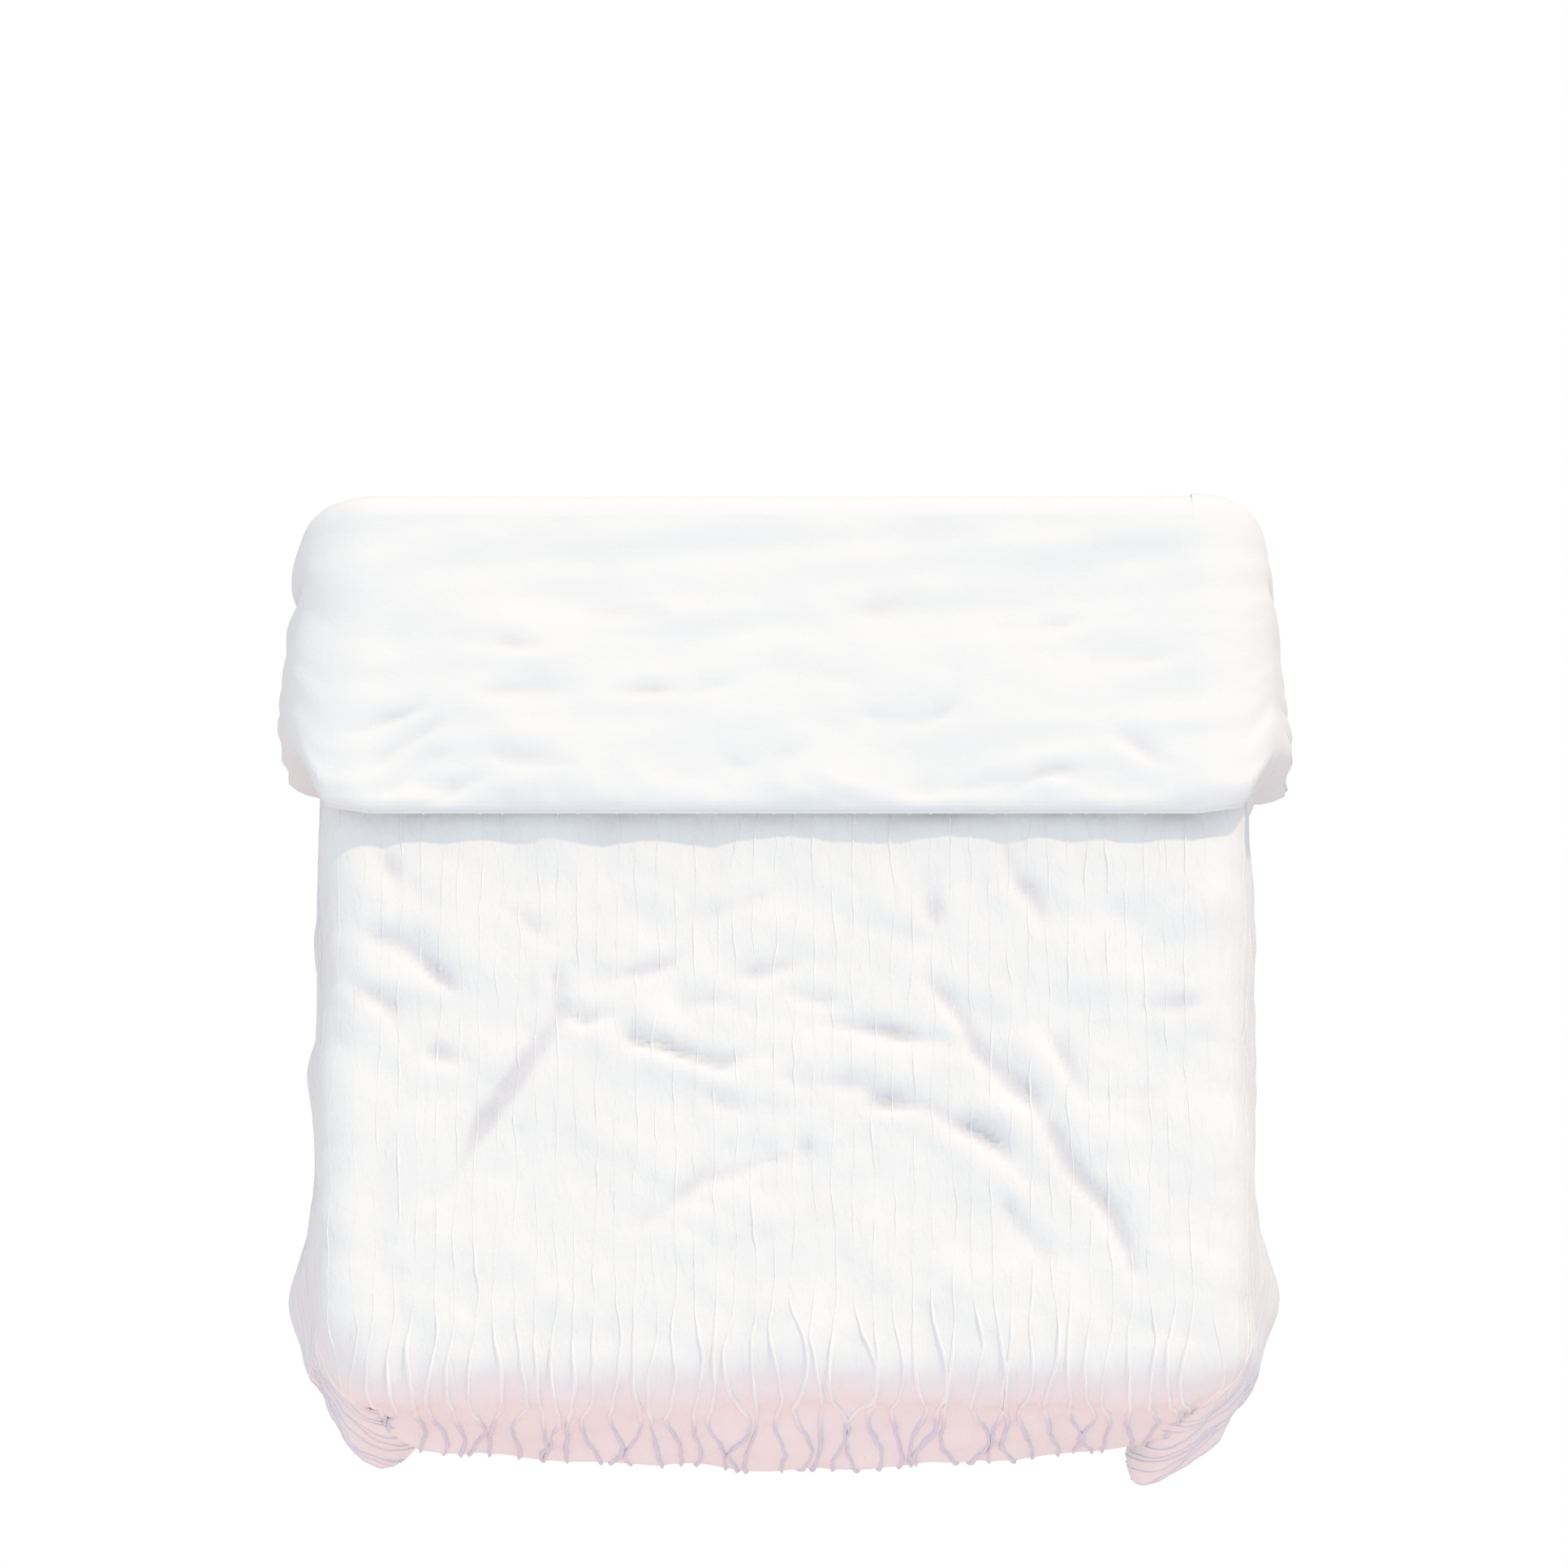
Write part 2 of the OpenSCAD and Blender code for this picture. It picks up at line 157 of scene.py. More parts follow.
def hangProfile(s, radius):
    # Outward distance and height after s of cloth has gone over the mattress's edge
    a = np.clip(s / radius, 0, turnAngle)
    down = np.maximum(s - radius * turnAngle, 0)
    out = radius * np.sin(a) + down * math.sin(quilt["lean"])
    return out, radius * np.cos(a) - quilt["mattressRound"] - down * math.cos(quilt["lean"])


# ---- the lower layer: middle of its thickness ----

foot = {
    "bow": 0.058,  # the middle of the foot drop swings out from its corners
    "drawnIn": 0.036,
    "sideFlare": 0.037,
    "flareAt": -0.568,
    "flareWidth": 0.080,
    # Hem at each corner: degrees round the corner, then past the side bend, past the foot, height
    "corner": {
        -1: [
            (10, 0.080, -0.030, -0.390), (20, 0.060, 0.008, -0.415), (29, 0.040, 0.040, -0.435),
            (37, 0.020, 0.068, -0.455), (44, -0.012, 0.086, -0.467), (51, -0.045, 0.078, -0.445),
            (58, -0.072, 0.052, -0.412), (66, -0.040, 0.028, -0.395), (74, -0.014, 0.024, -0.375),
            (82, -0.034, 0.044, -0.345),
        ],
        1: [
            (9, 0.085, -0.020, -0.385), (17, 0.050, 0.006, -0.410), (24, 0.027, 0.042, -0.430),
            (31, -0.004, 0.074, -0.450), (39, -0.052, 0.098, -0.465), (46, -0.096, 0.112, -0.476),
            (53, -0.107, 0.078, -0.430), (63, -0.055, 0.050, -0.400), (73, -0.020, 0.032, -0.370),
            (82, -0.035, 0.046, -0.345),
        ],
    },
}


def cornerHem(side, phi):
    rows = foot["corner"][side]
    out0, z0 = hangProfile(lowBend + quilt["sideDrop"], lowRadius)
    out1, z1 = hangProfile(lowBend + quilt["footDrop"], lowRadius)
    flare = foot["sideFlare"] * bump(cornerY, foot["flareAt"], foot["flareWidth"])
    first = (0, out0 + flare, footY - cornerY, z0)
    last = (90, cornerX - flatX, out1 - foot["drawnIn"], z1)
    rows = np.array([first, *rows, last])
    return softCurve(np.degrees(phi), rows[:, 0], rows[:, 1:])


def lowerMid(u, v):
    side = np.where(u < 0, -1.0, 1.0)
    a, b = np.maximum(abs(u) - cornerX, 0), np.maximum(cornerY - v, 0)
    rho, phi = np.hypot(a, b), np.arctan2(b, a)
    s = np.maximum(rho - innerRound, 0)
    out, z = hangProfile(s, lowRadius)
    ring = np.where(s > 0, innerRound + out, rho)
    x = np.minimum(abs(u), cornerX) + ring * np.cos(phi)
    y = np.maximum(v, cornerY) - ring * np.sin(phi)
    reachA, reachB = lowEdgeU - cornerX, cornerY - lowEdgeV
    sMax = np.minimum(reachA / np.maximum(np.cos(phi), 1e-6), reachB / np.maximum(np.sin(phi), 1e-6))
    sMax = sMax - innerRound
    down = np.clip((s - lowBend) / np.maximum(sMax - lowBend, 1e-6), 0, 1)
    down = np.where(a + b > 0, down, 0)
    # Side drops flare towards the foot, and the foot drop bows out
    flare = foot["sideFlare"] * bump(np.maximum(v, cornerY), foot["flareAt"], foot["flareWidth"])
    wave = 0.002 * softNoise(v, side * 3.0, 0.35, 5)
    x += (flare + wave) * down**1.4 * (b <= 0)
    bow = foot["bow"] * np.cos(np.clip(u / cornerX, -1, 1) * math.pi / 2) ** 0.8
    bow = bow + 0.006 * softNoise(u, 0.3, 0.2, 8) * (1 - (np.abs(u) / cornerX).clip(0, 1) ** 4)
    y += (foot["drawnIn"] * down - bow * down**1.3) * (a <= 0)
    # Each foot corner hangs in a tail
    inCorner = (a > 0) & (b > 0)
    outH, zH = hangProfile(sMax, lowRadius)
    plainX = cornerX + (innerRound + outH) * np.cos(phi)
    plainY = cornerY - (innerRound + outH) * np.sin(phi)
    for one in (-1, 1):
        here = inCorner & (side == one)
        hem = cornerHem(one, phi[here])
        x[here] += down[here] * (flatX + hem[:, 0] - plainX[here])
        y[here] += down[here] * (footY - hem[:, 1] - plainY[here])
        z[here] += down[here] * (hem[:, 2] - zH[here])
    return np.stack([side * x, y, z + 0 * x], -1)


# ---- the turned-back end: middle of its thickness, v runs from minus its length to 0 ----

wing = {
    "hangBack": {-1: 0.136, 1: 0.116},  # how far the hem draws back to the fold
    "leanOut": {-1: (-0.006, 0.010), 1: (-0.004, 0.008)},  # at the fold, at the free edge
    "puff": 0.036,  # how far the wing's upper half swells out
    "turnedIn": {-1: (0.070, 0.112, 0.016), 1: (0.066, 0.084, 0.012)},  # length, inwards, back
    "flute": {-1: (0.007, 0.062, 0.9), 1: (0.015, 0.060, 2.2)},  # depth, width, phase
    "notch": {-1: (0.090, 0.013, 0.046), 1: (0.105, 0.015, 0.032)},  # from the fold, half width, depth
    "raised": 0.030,
    "recess": 0.020,  # the fold stands back where it goes over the edge
}


def bySide(values, side):
    # Picks a wing's own numbers for every point
    left, right = np.atleast_1d(values[-1]), np.atleast_1d(values[1])
    return [np.where(side < 0, a, b) for a, b in zip(left, right)]


def flapMid(u, v):
    side = np.where(u < 0, -1.0, 1.0)
    w = np.maximum(-v, 0)
    a = np.maximum(abs(u) - flatX, 0)
    out, z = hangProfile(a, topRadius)
    reach = np.clip(a / (topBend + quilt["sideDrop"]), 0, 1)
    hang = np.clip((a - topBend) / quilt["sideDrop"], 0, 1)
    beside = smoothStep(reach, 0.20, 0.60)
    free = w / flapLen
    (hangBack,) = bySide(wing["hangBack"], side)
    y = foldY - w * (1 - hangBack / flapLen * (0.78 * smoothStep(reach, 0.14, 0.30) + 0.22 * reach))
    y = y - 0.012 * free**6 * (1 - 1.25 * bump(reach, 0.20, 0.14)) * (1 - beside)
    y = y - wing["recess"] * smoothStep(reach, 0.10, 0.55) * (1 - free) ** 2
    lean0, lean1 = bySide(wing["leanOut"], side)
    out = out + hang * (lean0 + (lean1 - lean0) * free**1.2)
    out = out + wing["puff"] * bump(reach, 0.50, 0.24) * (0.08 + 0.92 * free**0.8)
    z = z + 0.4 * wing["puff"] * bump(reach, 0.28, 0.16) * (0.3 + 0.7 * free)
    # The free edge of a wing turns in towards the mattress, in flutes
    length, inwards, back = bySide(wing["turnedIn"], side)
    turn = np.clip((w - flapLen + length) / length, 0, 1)
    out = out - inwards * beside * turn**1.3
    y = y + back * beside * turn**2.6
    depth, width, phase = bySide(wing["flute"], side)
    ripple = depth * np.sin(2 * math.pi * (w - flapLen) / width + phase) * beside * hang**0.5
    out = out + ripple * smoothStep(w, flapLen - 0.25, flapLen - 0.10) * (1 - 0.6 * turn)
    y = y - ripple * smoothStep(turn, 0.1, 0.7)
    place, width, depth = bySide(wing["notch"], side)
    past = w - place + 0.02 * hang
    width = np.where(past < 0, width, 3.2 * width)
    out = out - depth * bump(past, 0, width) * smoothStep(reach, 0.22, 0.60)
    out = out + 0.003 * softNoise(w, side * 2, 0.20, 21) * hang
    z = z + wing["raised"] * hang * (1 - free) ** 3
    x = np.minimum(abs(u), flatX) + out
    return np.stack([side * x, y, z + 0 * x], -1)


def acrossLayers(u, bendFrom, bendTo):
    # The same line on the other layer, whose bend at the sides has another length
    a = abs(u) - flatX
    past = np.where(a < bendFrom, a * bendTo / bendFrom, a - bendFrom + bendTo)
    return np.sign(u) * (flatX + np.where(a < 0, a, past))


def rolled(u, turn, upper):
    # The fold at the head: half a turn between the two layers
    low = lowerMid(acrossLayers(u, topBend, lowBend), np.full(u.shape, foldY))
    top = flapMid(u, np.zeros(u.shape))
    half, middle = (top - low) / 2, (top + low) / 2
    radius = np.linalg.norm(half, axis=-1, keepdims=True)
    away = np.array([0.0, 1.0, 0.0]) * radius * np.sin(turn)[..., None] * 1.12
    return middle + half * np.cos(turn)[..., None] * (1 if upper else -1) + away


def lowerSurface(u, v):
    points = lowerMid(u, np.minimum(v, foldY))
    past = v > foldY
    points[past] = rolled(acrossLayers(u[past], lowBend, topBend), (v[past] - foldY) / rollRadius, False)
    return points


def flapSurface(u, v):
    points = flapMid(u, np.minimum(v, 0))
    past = v > 0
    points[past] = rolled(u[past], v[past] / rollRadius, True)
    return points


def foldSurface(u, s):
    # Round the fold, from the lower layer to the turned-back end
    past = s > rollLen
    points = lowerSurface(u, foldY + np.minimum(s, rollLen))
    points[past] = flapSurface(u[past], 2 * rollLen - s[past])
    return points


# ---- tucks: where they run ----

tucks = {
    "pitch": 0.034,
    "halfWidth": 0.0024,
    "height": 0.0046,
    "wander": 0.0050,
    "footSway": 0.011,
    "nub": 0.009,  # how far a tuck's end stands past the hem
    "flapNub": 0.006,
    "knot": (0.0034, 0.0042),  # half width and height
    "flapHeight": 0.95,
    "step": 0.009,
    # Neighbours that run together over the foot, counted from the middle tuck
    "joined": [-16, -12, -10, -7, -3, 0, 4, 8, 11, 14, 17],
}


def tuckPath(number, v):
    # Where a tuck lies across the cloth, wandering as the crumpled cloth does
    u0 = number * tucks["pitch"]
    atFoot = smoothStep(-v, -footY - 0.10, -footY + 0.05)
    u = u0 + tucks["wander"] * softNoise(v, number * 7.3, 0.22, 71) * (0.6 + 0.4 * atFoot)
    u += 0.0009 * softNoise(v, number * 3.1, 0.06, 73)
    u += tucks["footSway"] * softNoise(v, number * 2.9, 0.34, 75) * atFoot
    meet = np.clip((-v + footY + 0.035) / 0.165, 0, 1) ** 1.2
    if abs(u0) < cornerX - 0.02:
        if number in tucks["joined"]:
            u += 0.42 * tucks["pitch"] * meet
        elif number - 1 in tucks["joined"]:
            u -= 0.42 * tucks["pitch"] * meet
    return u


# ---- relief of the two visible sides ----

# Creases: points across and along, depth and half width in millimetres
lowerCreases = [
    ([(-0.743, -0.007), (-0.676, -0.021), (-0.601, -0.074), (-0.525, -0.132)], 9, 15),
    ([(-0.375, -0.066), (-0.389, -0.13)], 5, 17), ([(-0.489, 0.052), (-0.43, -0.01)], 4, 16),
    ([(-0.361, -0.102), (-0.406, -0.194), (-0.511, -0.334), (-0.591, -0.487)], 10, 19),
    ([(-0.372, -0.158), (-0.345, -0.165), (-0.3, -0.15)], 9, 14),
    ([(-0.318, -0.096), (-0.255, -0.075), (-0.192, -0.052)], 5, 15),
    ([(-0.264, -0.194), (-0.2, -0.205), (-0.111, -0.242), (-0.01, -0.224)], 8, 15),
    ([(-0.275, -0.165), (-0.245, -0.2)], 6, 15), ([(-0.086, -0.074), (0.034, -0.066)], 5, 14),
    ([(-0.185, -0.115), (-0.105, -0.125)], 4, 14),
    ([(0.076, -0.175), (0.165, -0.181), (0.277, -0.211)], 9, 14),
    ([(-0.008, -0.257), (0.118, -0.286), (0.202, -0.329)], 6, 16),
    ([(0.02, -0.12), (0.11, -0.135)], 4, 15),
    ([(0.104, -0.329), (0.19, -0.31), (0.272, -0.32), (0.397, -0.402)], 5, 17),
    ([(0.218, 0.126), (0.25, 0.06), (0.274, -0.007)], 4, 19),
    ([(0.259, -0.081), (0.283, -0.113), (0.33, -0.211), (0.378, -0.242), (0.452, -0.347),
     (0.551, -0.498), (0.604, -0.603)], 12, 18), ([(0.393, 0.16), (0.42, 0.09), (0.456, 0.01)], 5, 17),
    ([(0.553, 0.035), (0.62, 0.042), (0.689, 0.061)], 6, 14), ([(0.456, -0.184), (0.51, -0.3)], 4, 20),
    ([(0.615, -0.156), (0.71, -0.132)], 5, 14),
    ([(-0.259, -0.531), (-0.134, -0.459), (-0.036, -0.416)], 5, 20),
    ([(0.03, -0.375), (0.035, -0.4)], 5, 14), ([(-0.689, 0.141), (-0.617, 0.037)], 4, 18),
    ([(-0.756, -0.081), (-0.655, -0.184)], 4, 18), ([(0.286, -0.329), (0.466, -0.474)], 4, 18),
    ([(0.354, -0.488), (0.451, -0.603)], 4, 18), ([(0.56, -0.3), (0.65, -0.295)], 3, 16),
    ([(-0.6, -0.2), (-0.55, -0.24)], 3, 18), ([(-0.16, -0.29), (-0.06, -0.31)], 4, 17),
    ([(-0.12, 0.02), (-0.02, 0.06)], 3, 18),
]
flapCreases = [
    ([(-0.519, 0.414), (-0.381, 0.408)], 3.5, 13),
    ([(-0.689, 0.251), (-0.64, 0.275), (-0.59, 0.302)], 5, 9),
    ([(0.374, 0.238), (0.45, 0.262), (0.536, 0.283)], 4, 12),
    ([(-0.293, 0.407), (-0.2, 0.425), (-0.094, 0.429)], 3.5, 14),
    ([(0.134, 0.377), (0.22, 0.38), (0.304, 0.395)], 4, 13), ([(0.518, 0.467), (0.675, 0.489)], 4, 14),
    ([(-0.775, 0.339), (-0.69, 0.377), (-0.634, 0.407)], 4, 12),
    ([(-0.519, 0.317), (-0.377, 0.294), (-0.292, 0.272)], 3, 16),
    ([(0.232, 0.242), (0.402, 0.265)], 3, 13),
    ([(-0.688, 0.22), (-0.6, 0.235), (-0.518, 0.265)], 4, 10),
    ([(-0.72, 0.285), (-0.66, 0.32), (-0.61, 0.36)], 4, 10),
    ([(0.7, 0.3), (0.62, 0.335), (0.56, 0.36)], 3, 13), ([(-0.05, 0.47), (0.12, 0.455)], 2.5, 18),
    ([(0.36, 0.52), (0.52, 0.55)], 3, 17), ([(-0.6, 0.52), (-0.42, 0.5)], 2.5, 17),
    ([(-0.1, 0.3), (0.06, 0.315)], 2.5, 16), ([(0.1, 0.56), (0.26, 0.575)], 2, 20),
    ([(-0.35, 0.58), (-0.2, 0.56)], 2, 20),
]


def creaseRelief(x, y, creases, seed):
    # Valleys with soft shoulders along wandering lines
    x, y = x + 0.008 * softNoise(x, y, 0.24, seed), y + 0.008 * softNoise(x, y, 0.21, seed + 1)
    total = np.zeros(x.shape)
    for points, depth, width in creases:
        near, width = np.full(x.shape, 9.0), 1.2 * width / 1000
        taper, travelled = np.zeros(x.shape), 0.0
        length = sum(math.dist(p, q) for p, q in zip(points, points[1:]))
        for (ax, ay), (bx, by) in zip(points, points[1:]):
            dx, dy = bx - ax, by - ay
            t = np.clip(((x - ax) * dx + (y - ay) * dy) / (dx * dx + dy * dy), 0, 1)
            away = np.hypot(x - ax - t * dx, y - ay - t * dy)
            part = (travelled + t * math.hypot(dx, dy)) / length
            taper = np.where(away < near, np.sin(math.pi * (0.06 + 0.88 * part)) ** 0.7, taper)
            near = np.minimum(near, away)
            travelled += math.hypot(dx, dy)
        shape = 0.40 * bump(near, 2.4 * width, 1.7 * width) - bump(near, 0, width * (0.6 + 0.4 * taper))
        uneven = (0.9 + 0.4 * softNoise(x, y, 0.13, seed + 7)).clip(0.25, 1.4)
        total += (0.0048 + 0.00082 * depth) * shape * taper * uneven
    return total


def tuckRelief(u, v):
    # The cloth is drawn up along every tuck, most where it goes over the foot
    atFoot = smoothStep(-v, -footY - 0.16, -footY + 0.02)
    total = np.zeros(u.shape)
    for number in range(-34, 34):
        away = abs(u - tuckPath(number + 0.5, v))
        height = 0.0007 + 0.0030 * atFoot + 0.0006 * softNoise(v, number * 3.7, 0.15, 83)
        total += height * np.exp(-away / (0.006 + 0.002 * atFoot))
    return total - 0.4 * (0.0007 + 0.0030 * atFoot)


def lowerRelief(u, v):
    # Soft lumps of filling, puckers along the tucks, then the creases
    calm = smoothStep(lowEdgeU - abs(u), 0.0, 0.05) * smoothStep(v - lowEdgeV, 0.0, 0.03)
    lumps = 0.0030 * softNoise(u, v, 0.28, 31) + 0.0008 * softNoise(u, v, 0.10, 33)
    folded = (0.0040 * (abs(softNoise(u, 0.8 * v, 0.30, 34)) - 0.5)
              + 0.0014 * (abs(softNoise(u, v, 0.14, 36)) - 0.5))
    streaks = 0.0007 * softNoise(u, 0.2 * v, 0.05, 35)
    flat = smoothStep(flatX + 0.05 - abs(u), 0, 0.06) * smoothStep(v - footY, -0.02, 0.10)
    under = smoothStep(v, freeY + 0.005, freeY + 0.09)
    creases = flat * creaseRelief(u, v, lowerCreases, 41) * (1 - under)
    relief = calm * (lumps + folded + streaks + tuckRelief(u, v)) * (1 - 0.85 * under) - 0.001 * under
    return relief + creases, creases + 0.35 * flat * folded


def flapRelief(u, v):
    calm = smoothStep(topEdgeU - abs(u), 0.0, 0.05) * smoothStep(v + flapLen, 0.0, 0.04)
    lumps = 0.0030 * softNoise(u, v, 0.30, 51) + 0.0022 * softNoise(0.35 * u, v, 0.12, 53)
    lumps += 0.0008 * softNoise(0.2 * u, v, 0.05, 55)
    flat = smoothStep(flatX + 0.10 - abs(u), 0, 0.08)
    creases = flat * 0.62 * creaseRelief(u, v + foldY, flapCreases, 61)
    hem = 0.0014 * softNoise(u, v, 0.06, 63) * bump(v, -flapLen + 0.03, 0.03)
    return calm * lumps + creases + hem, creases


def halfLoft(edge):
    # Half of the thickness at a distance from the sewn edge
    t = np.clip(edge / quilt["edgeSoft"], 0, 1)
    return quilt["edgeHalf"] + (loft / 2 - quilt["edgeHalf"]) * np.sqrt(np.maximum(1 - (1 - t) ** 2, 0))


# ---- cloth laid out on grids ----


def gridLines(low, high, step, endLow=False, endHigh=False, keep=()):
    # Even lines, closer together at a sewn edge, with the kept ones exact
    close = np.array([0, 0.0012, 0.003, 0.006, 0.010, 0.015, 0.021, 0.029])
    inner = 0.038
    low2, high2 = low + inner * endLow, high - inner * endHigh
    stops = [low2, *[k for k in keep if low2 < k < high2], high2]
    lines = []
    for a, b in zip(stops, stops[1:]):
        lines += list(np.linspace(a, b, max(2, round((b - a) / step) + 1))[:-1])
    lines = ([*(low + close)] if endLow else []) + lines + [high2]
    return np.array(lines + ([*(high - close[::-1])] if endHigh else []))


def layOut(surface, relief, edge, uLines, vLines):
    # Points of the upper and lower sides, as offset from the middle along its normals
    u, v = np.meshgrid(uLines, vLines)
    step = 0.0015
    middle = surface(u, v)
    across = surface(u + step, v) - surface(u - step, v)
    along = surface(u, v + step) - surface(u, v - step)
    normal = np.cross(across, along)
    normal /= np.maximum(np.linalg.norm(normal, axis=-1, keepdims=True), 1e-12)
    half = halfLoft(edge(u, v))
    raised, creased = relief(u, v)
    return {"u": u, "v": v, "uLines": uLines, "vLines": vLines, "middle": middle,
            "normal": normal, "half": half, "relief": raised, "creased": creased}


def layLower(uLines, vLines):
    return layOut(lowerSurface, lowerRelief, lambda u, v: np.minimum(lowEdgeU - abs(u), v - lowEdgeV),
                  uLines, vLines)


def layFlap(uLines, vLines):
    return layOut(flapSurface, flapRelief, lambda u, v: np.minimum(topEdgeU - abs(u), v + flapLen),
                  uLines, vLines)


def side(cloth, which, inset=0.0):
    # Upper side is +1 and lower side -1; the relief is on the side that shows
    rise = cloth["half"] - inset + (cloth["relief"] if which > 0 else 0)
    return cloth["middle"] + which * rise[..., None] * cloth["normal"]


def addPiece(name, mesh, material):
    mesh.materials.clear()
    mesh.materials.append(material)
    piece = bpy.data.objects.new(name, mesh)
    bpy.context.scene.collection.objects.link(piece)
    return piece


def closedPanel(name, cloth, top, bottom, material):
    # A thin closed body between two grids of points
    rows, cols = top.shape[:2]
    count = rows * cols
    index = np.arange(count).reshape(rows, cols)
    a, b, c, d = index[:-1, :-1], index[:-1, 1:], index[1:, 1:], index[1:, :-1]
    upper = np.stack([a, b, c, d], -1).reshape(-1, 4)
    rim = np.concatenate([index[0, :], index[1:, -1], index[-1, -2::-1], index[-2:0:-1, 0]])
    after = np.roll(rim, -1)
    wall = np.stack([rim, rim + count, after + count, after], -1)
    faces = np.concatenate([upper, upper[:, ::-1] + count, wall])
    mesh = bpy.data.meshes.new(name)
    points = np.concatenate([top.reshape(-1, 3), bottom.reshape(-1, 3)])
    mesh.vertices.add(len(points))
    mesh.vertices.foreach_set("co", points.astype(np.float32).ravel())
    mesh.loops.add(faces.size)
    mesh.loops.foreach_set("vertex_index", faces.astype(np.int32).ravel())
    mesh.polygons.add(len(faces))
    mesh.polygons.foreach_set("loop_start", np.arange(0, faces.size, 4, dtype=np.int32))
    layer = mesh.uv_layers.new(name="clothMap")
    flat = np.stack([cloth["u"].ravel(), cloth["v"].ravel()], -1)
    flat = np.concatenate([flat, flat])[faces.ravel()]
    layer.data.foreach_set("uv", flat.astype(np.float32).ravel())
    # Painted shade: how deep each point lies in a crease, which greys the cloth there
    hollow = smoothStep(-cloth["creased"].ravel(), 0.0002, 0.009)
    shade = mesh.attributes.new("hollow", "FLOAT", "POINT")
    shade.data.foreach_set("value", np.concatenate([hollow, hollow]).astype(np.float32))
    mesh.update(calc_edges=True)
    mesh.validate()
    mesh.shade_smooth()
    mesh.set_sharp_from_angle(angle=math.radians(50))
    return addPiece(name, mesh, material)


def sample(cloth, points, u, v):
    # Places on a grid of points, read between its lines
    ul, vl = cloth["uLines"], cloth["vLines"]
    i = np.clip(np.searchsorted(ul, u) - 1, 0, len(ul) - 2)
    j = np.clip(np.searchsorted(vl, v) - 1, 0, len(vl) - 2)
    s = np.clip((u - ul[i]) / (ul[i + 1] - ul[i]), 0, 1)[..., None]
    t = np.clip((v - vl[j]) / (vl[j + 1] - vl[j]), 0, 1)[..., None]
    return ((1 - t) * ((1 - s) * points[j, i] + s * points[j, i + 1])
            + t * ((1 - s) * points[j + 1, i] + s * points[j + 1, i + 1]))


# ---- nodes ----


def feed(tree, sockets, values):
    # Gives sockets their values, or links them from other sockets
    for label, given in dict(values).items():
        if isinstance(given, bpy.types.NodeSocket):
            tree.links.new(given, sockets[label])
        else:
            sockets[label].default_value = given


def addNode(tree, kind, values=(), **settings):
    node = tree.nodes.new(kind)
    for key, value in settings.items():
        setattr(node, key, value)
    feed(tree, node.inputs, values)
    return node.outputs


def addTree(name, kind, inputs, outputs):
    tree = bpy.data.node_groups.new(name, kind + "NodeTree")
    for way, sockets in (("INPUT", inputs), ("OUTPUT", outputs)):
        for label, socket in sockets.items():
            tree.interface.new_socket(name=label, in_out=way, socket_type="NodeSocket" + socket)
    return tree, tree.nodes.new("NodeGroupInput").outputs, tree.nodes.new("NodeGroupOutput").inputs


def mathNode(tree, operation, *values):
    return addNode(tree, "ShaderNodeMath", enumerate(values), operation=operation)[0]


def mixNode(tree, factor, first, second, blend="MIX"):
    values = {"Factor": factor, 6: first, 7: second}
    return addNode(tree, "ShaderNodeMix", values, data_type="RGBA", blend_type=blend)[2]


def noiseNode(tree, vector, across, along, detail, roughness=0.5):
    # Noise on the cloth map, with a size of its own each way
    parts = addNode(tree, "ShaderNodeSeparateXYZ", {0: vector})
    sizes = [mathNode(tree, "DIVIDE", part, size) for part, size in zip(parts, (across, along))]
    place = addNode(tree, "ShaderNodeCombineXYZ", enumerate(sizes))[0]
    values = {"Scale": 1.0, "Detail": detail, "Roughness": roughness, "Vector": place}
    return addNode(tree, "ShaderNodeTexNoise", values)["Fac"]


# ---- cloth finishes ----

weaving = {"slub": (0.004, 0.02), "slubHeight": 0.8, "threadHeight": 0.35, "gapBlend": 0.2}
crumple = {"ridge": 3.0, "ridgeHeight": 0.4, "small": (0.006, 0.011), "smallHeight": 0.22}
washed = {"from": 0.35, "to": 0.7, "rougher": 0.08}
# The crease tint and the height range for the tucks below are painted shade: greyer in creases, blue-grey on
# the tucks low on the drop
cotton = {"specular": 0.25, "sheenRough": 0.5, "gapTone": 0.05, "hollow": (0.86, 0.85, 0.885, 1),
          "tightFrom": -0.06, "tightTo": -0.15}


def buildWeave():
    # Plain weave: threads over and under each other, with a little slub
    tree, given, result = addTree(
        "weave", "Shader", {"Map": "Vector", "Thread": "Float"}, {"Height": "Float", "Gap": "Float"})
    parts = addNode(tree, "ShaderNodeSeparateXYZ", {0: given["Map"]})
    slub = noiseNode(tree, given["Map"], *weaving["slub"], 2)
    slub = mathNode(tree, "MULTIPLY", slub, weaving["slubHeight"])
    waves = []
    for axis in (0, 1):
        turns = mathNode(tree, "DIVIDE", parts[axis], given["Thread"])
        waves.append(mathNode(tree, "SINE", mathNode(tree, "MULTIPLY", turns, 2 * math.pi)))
    over = mathNode(tree, "MULTIPLY", *waves)
    height = mathNode(tree, "MULTIPLY_ADD", over, weaving["threadHeight"], slub)
    openings = [mathNode(tree, "ABSOLUTE", wave) for wave in waves]
    between = mathNode(tree, "SMOOTH_MIN", *openings, weaving["gapBlend"])
    feed(tree, result, {"Height": height, "Gap": between})
    return tree


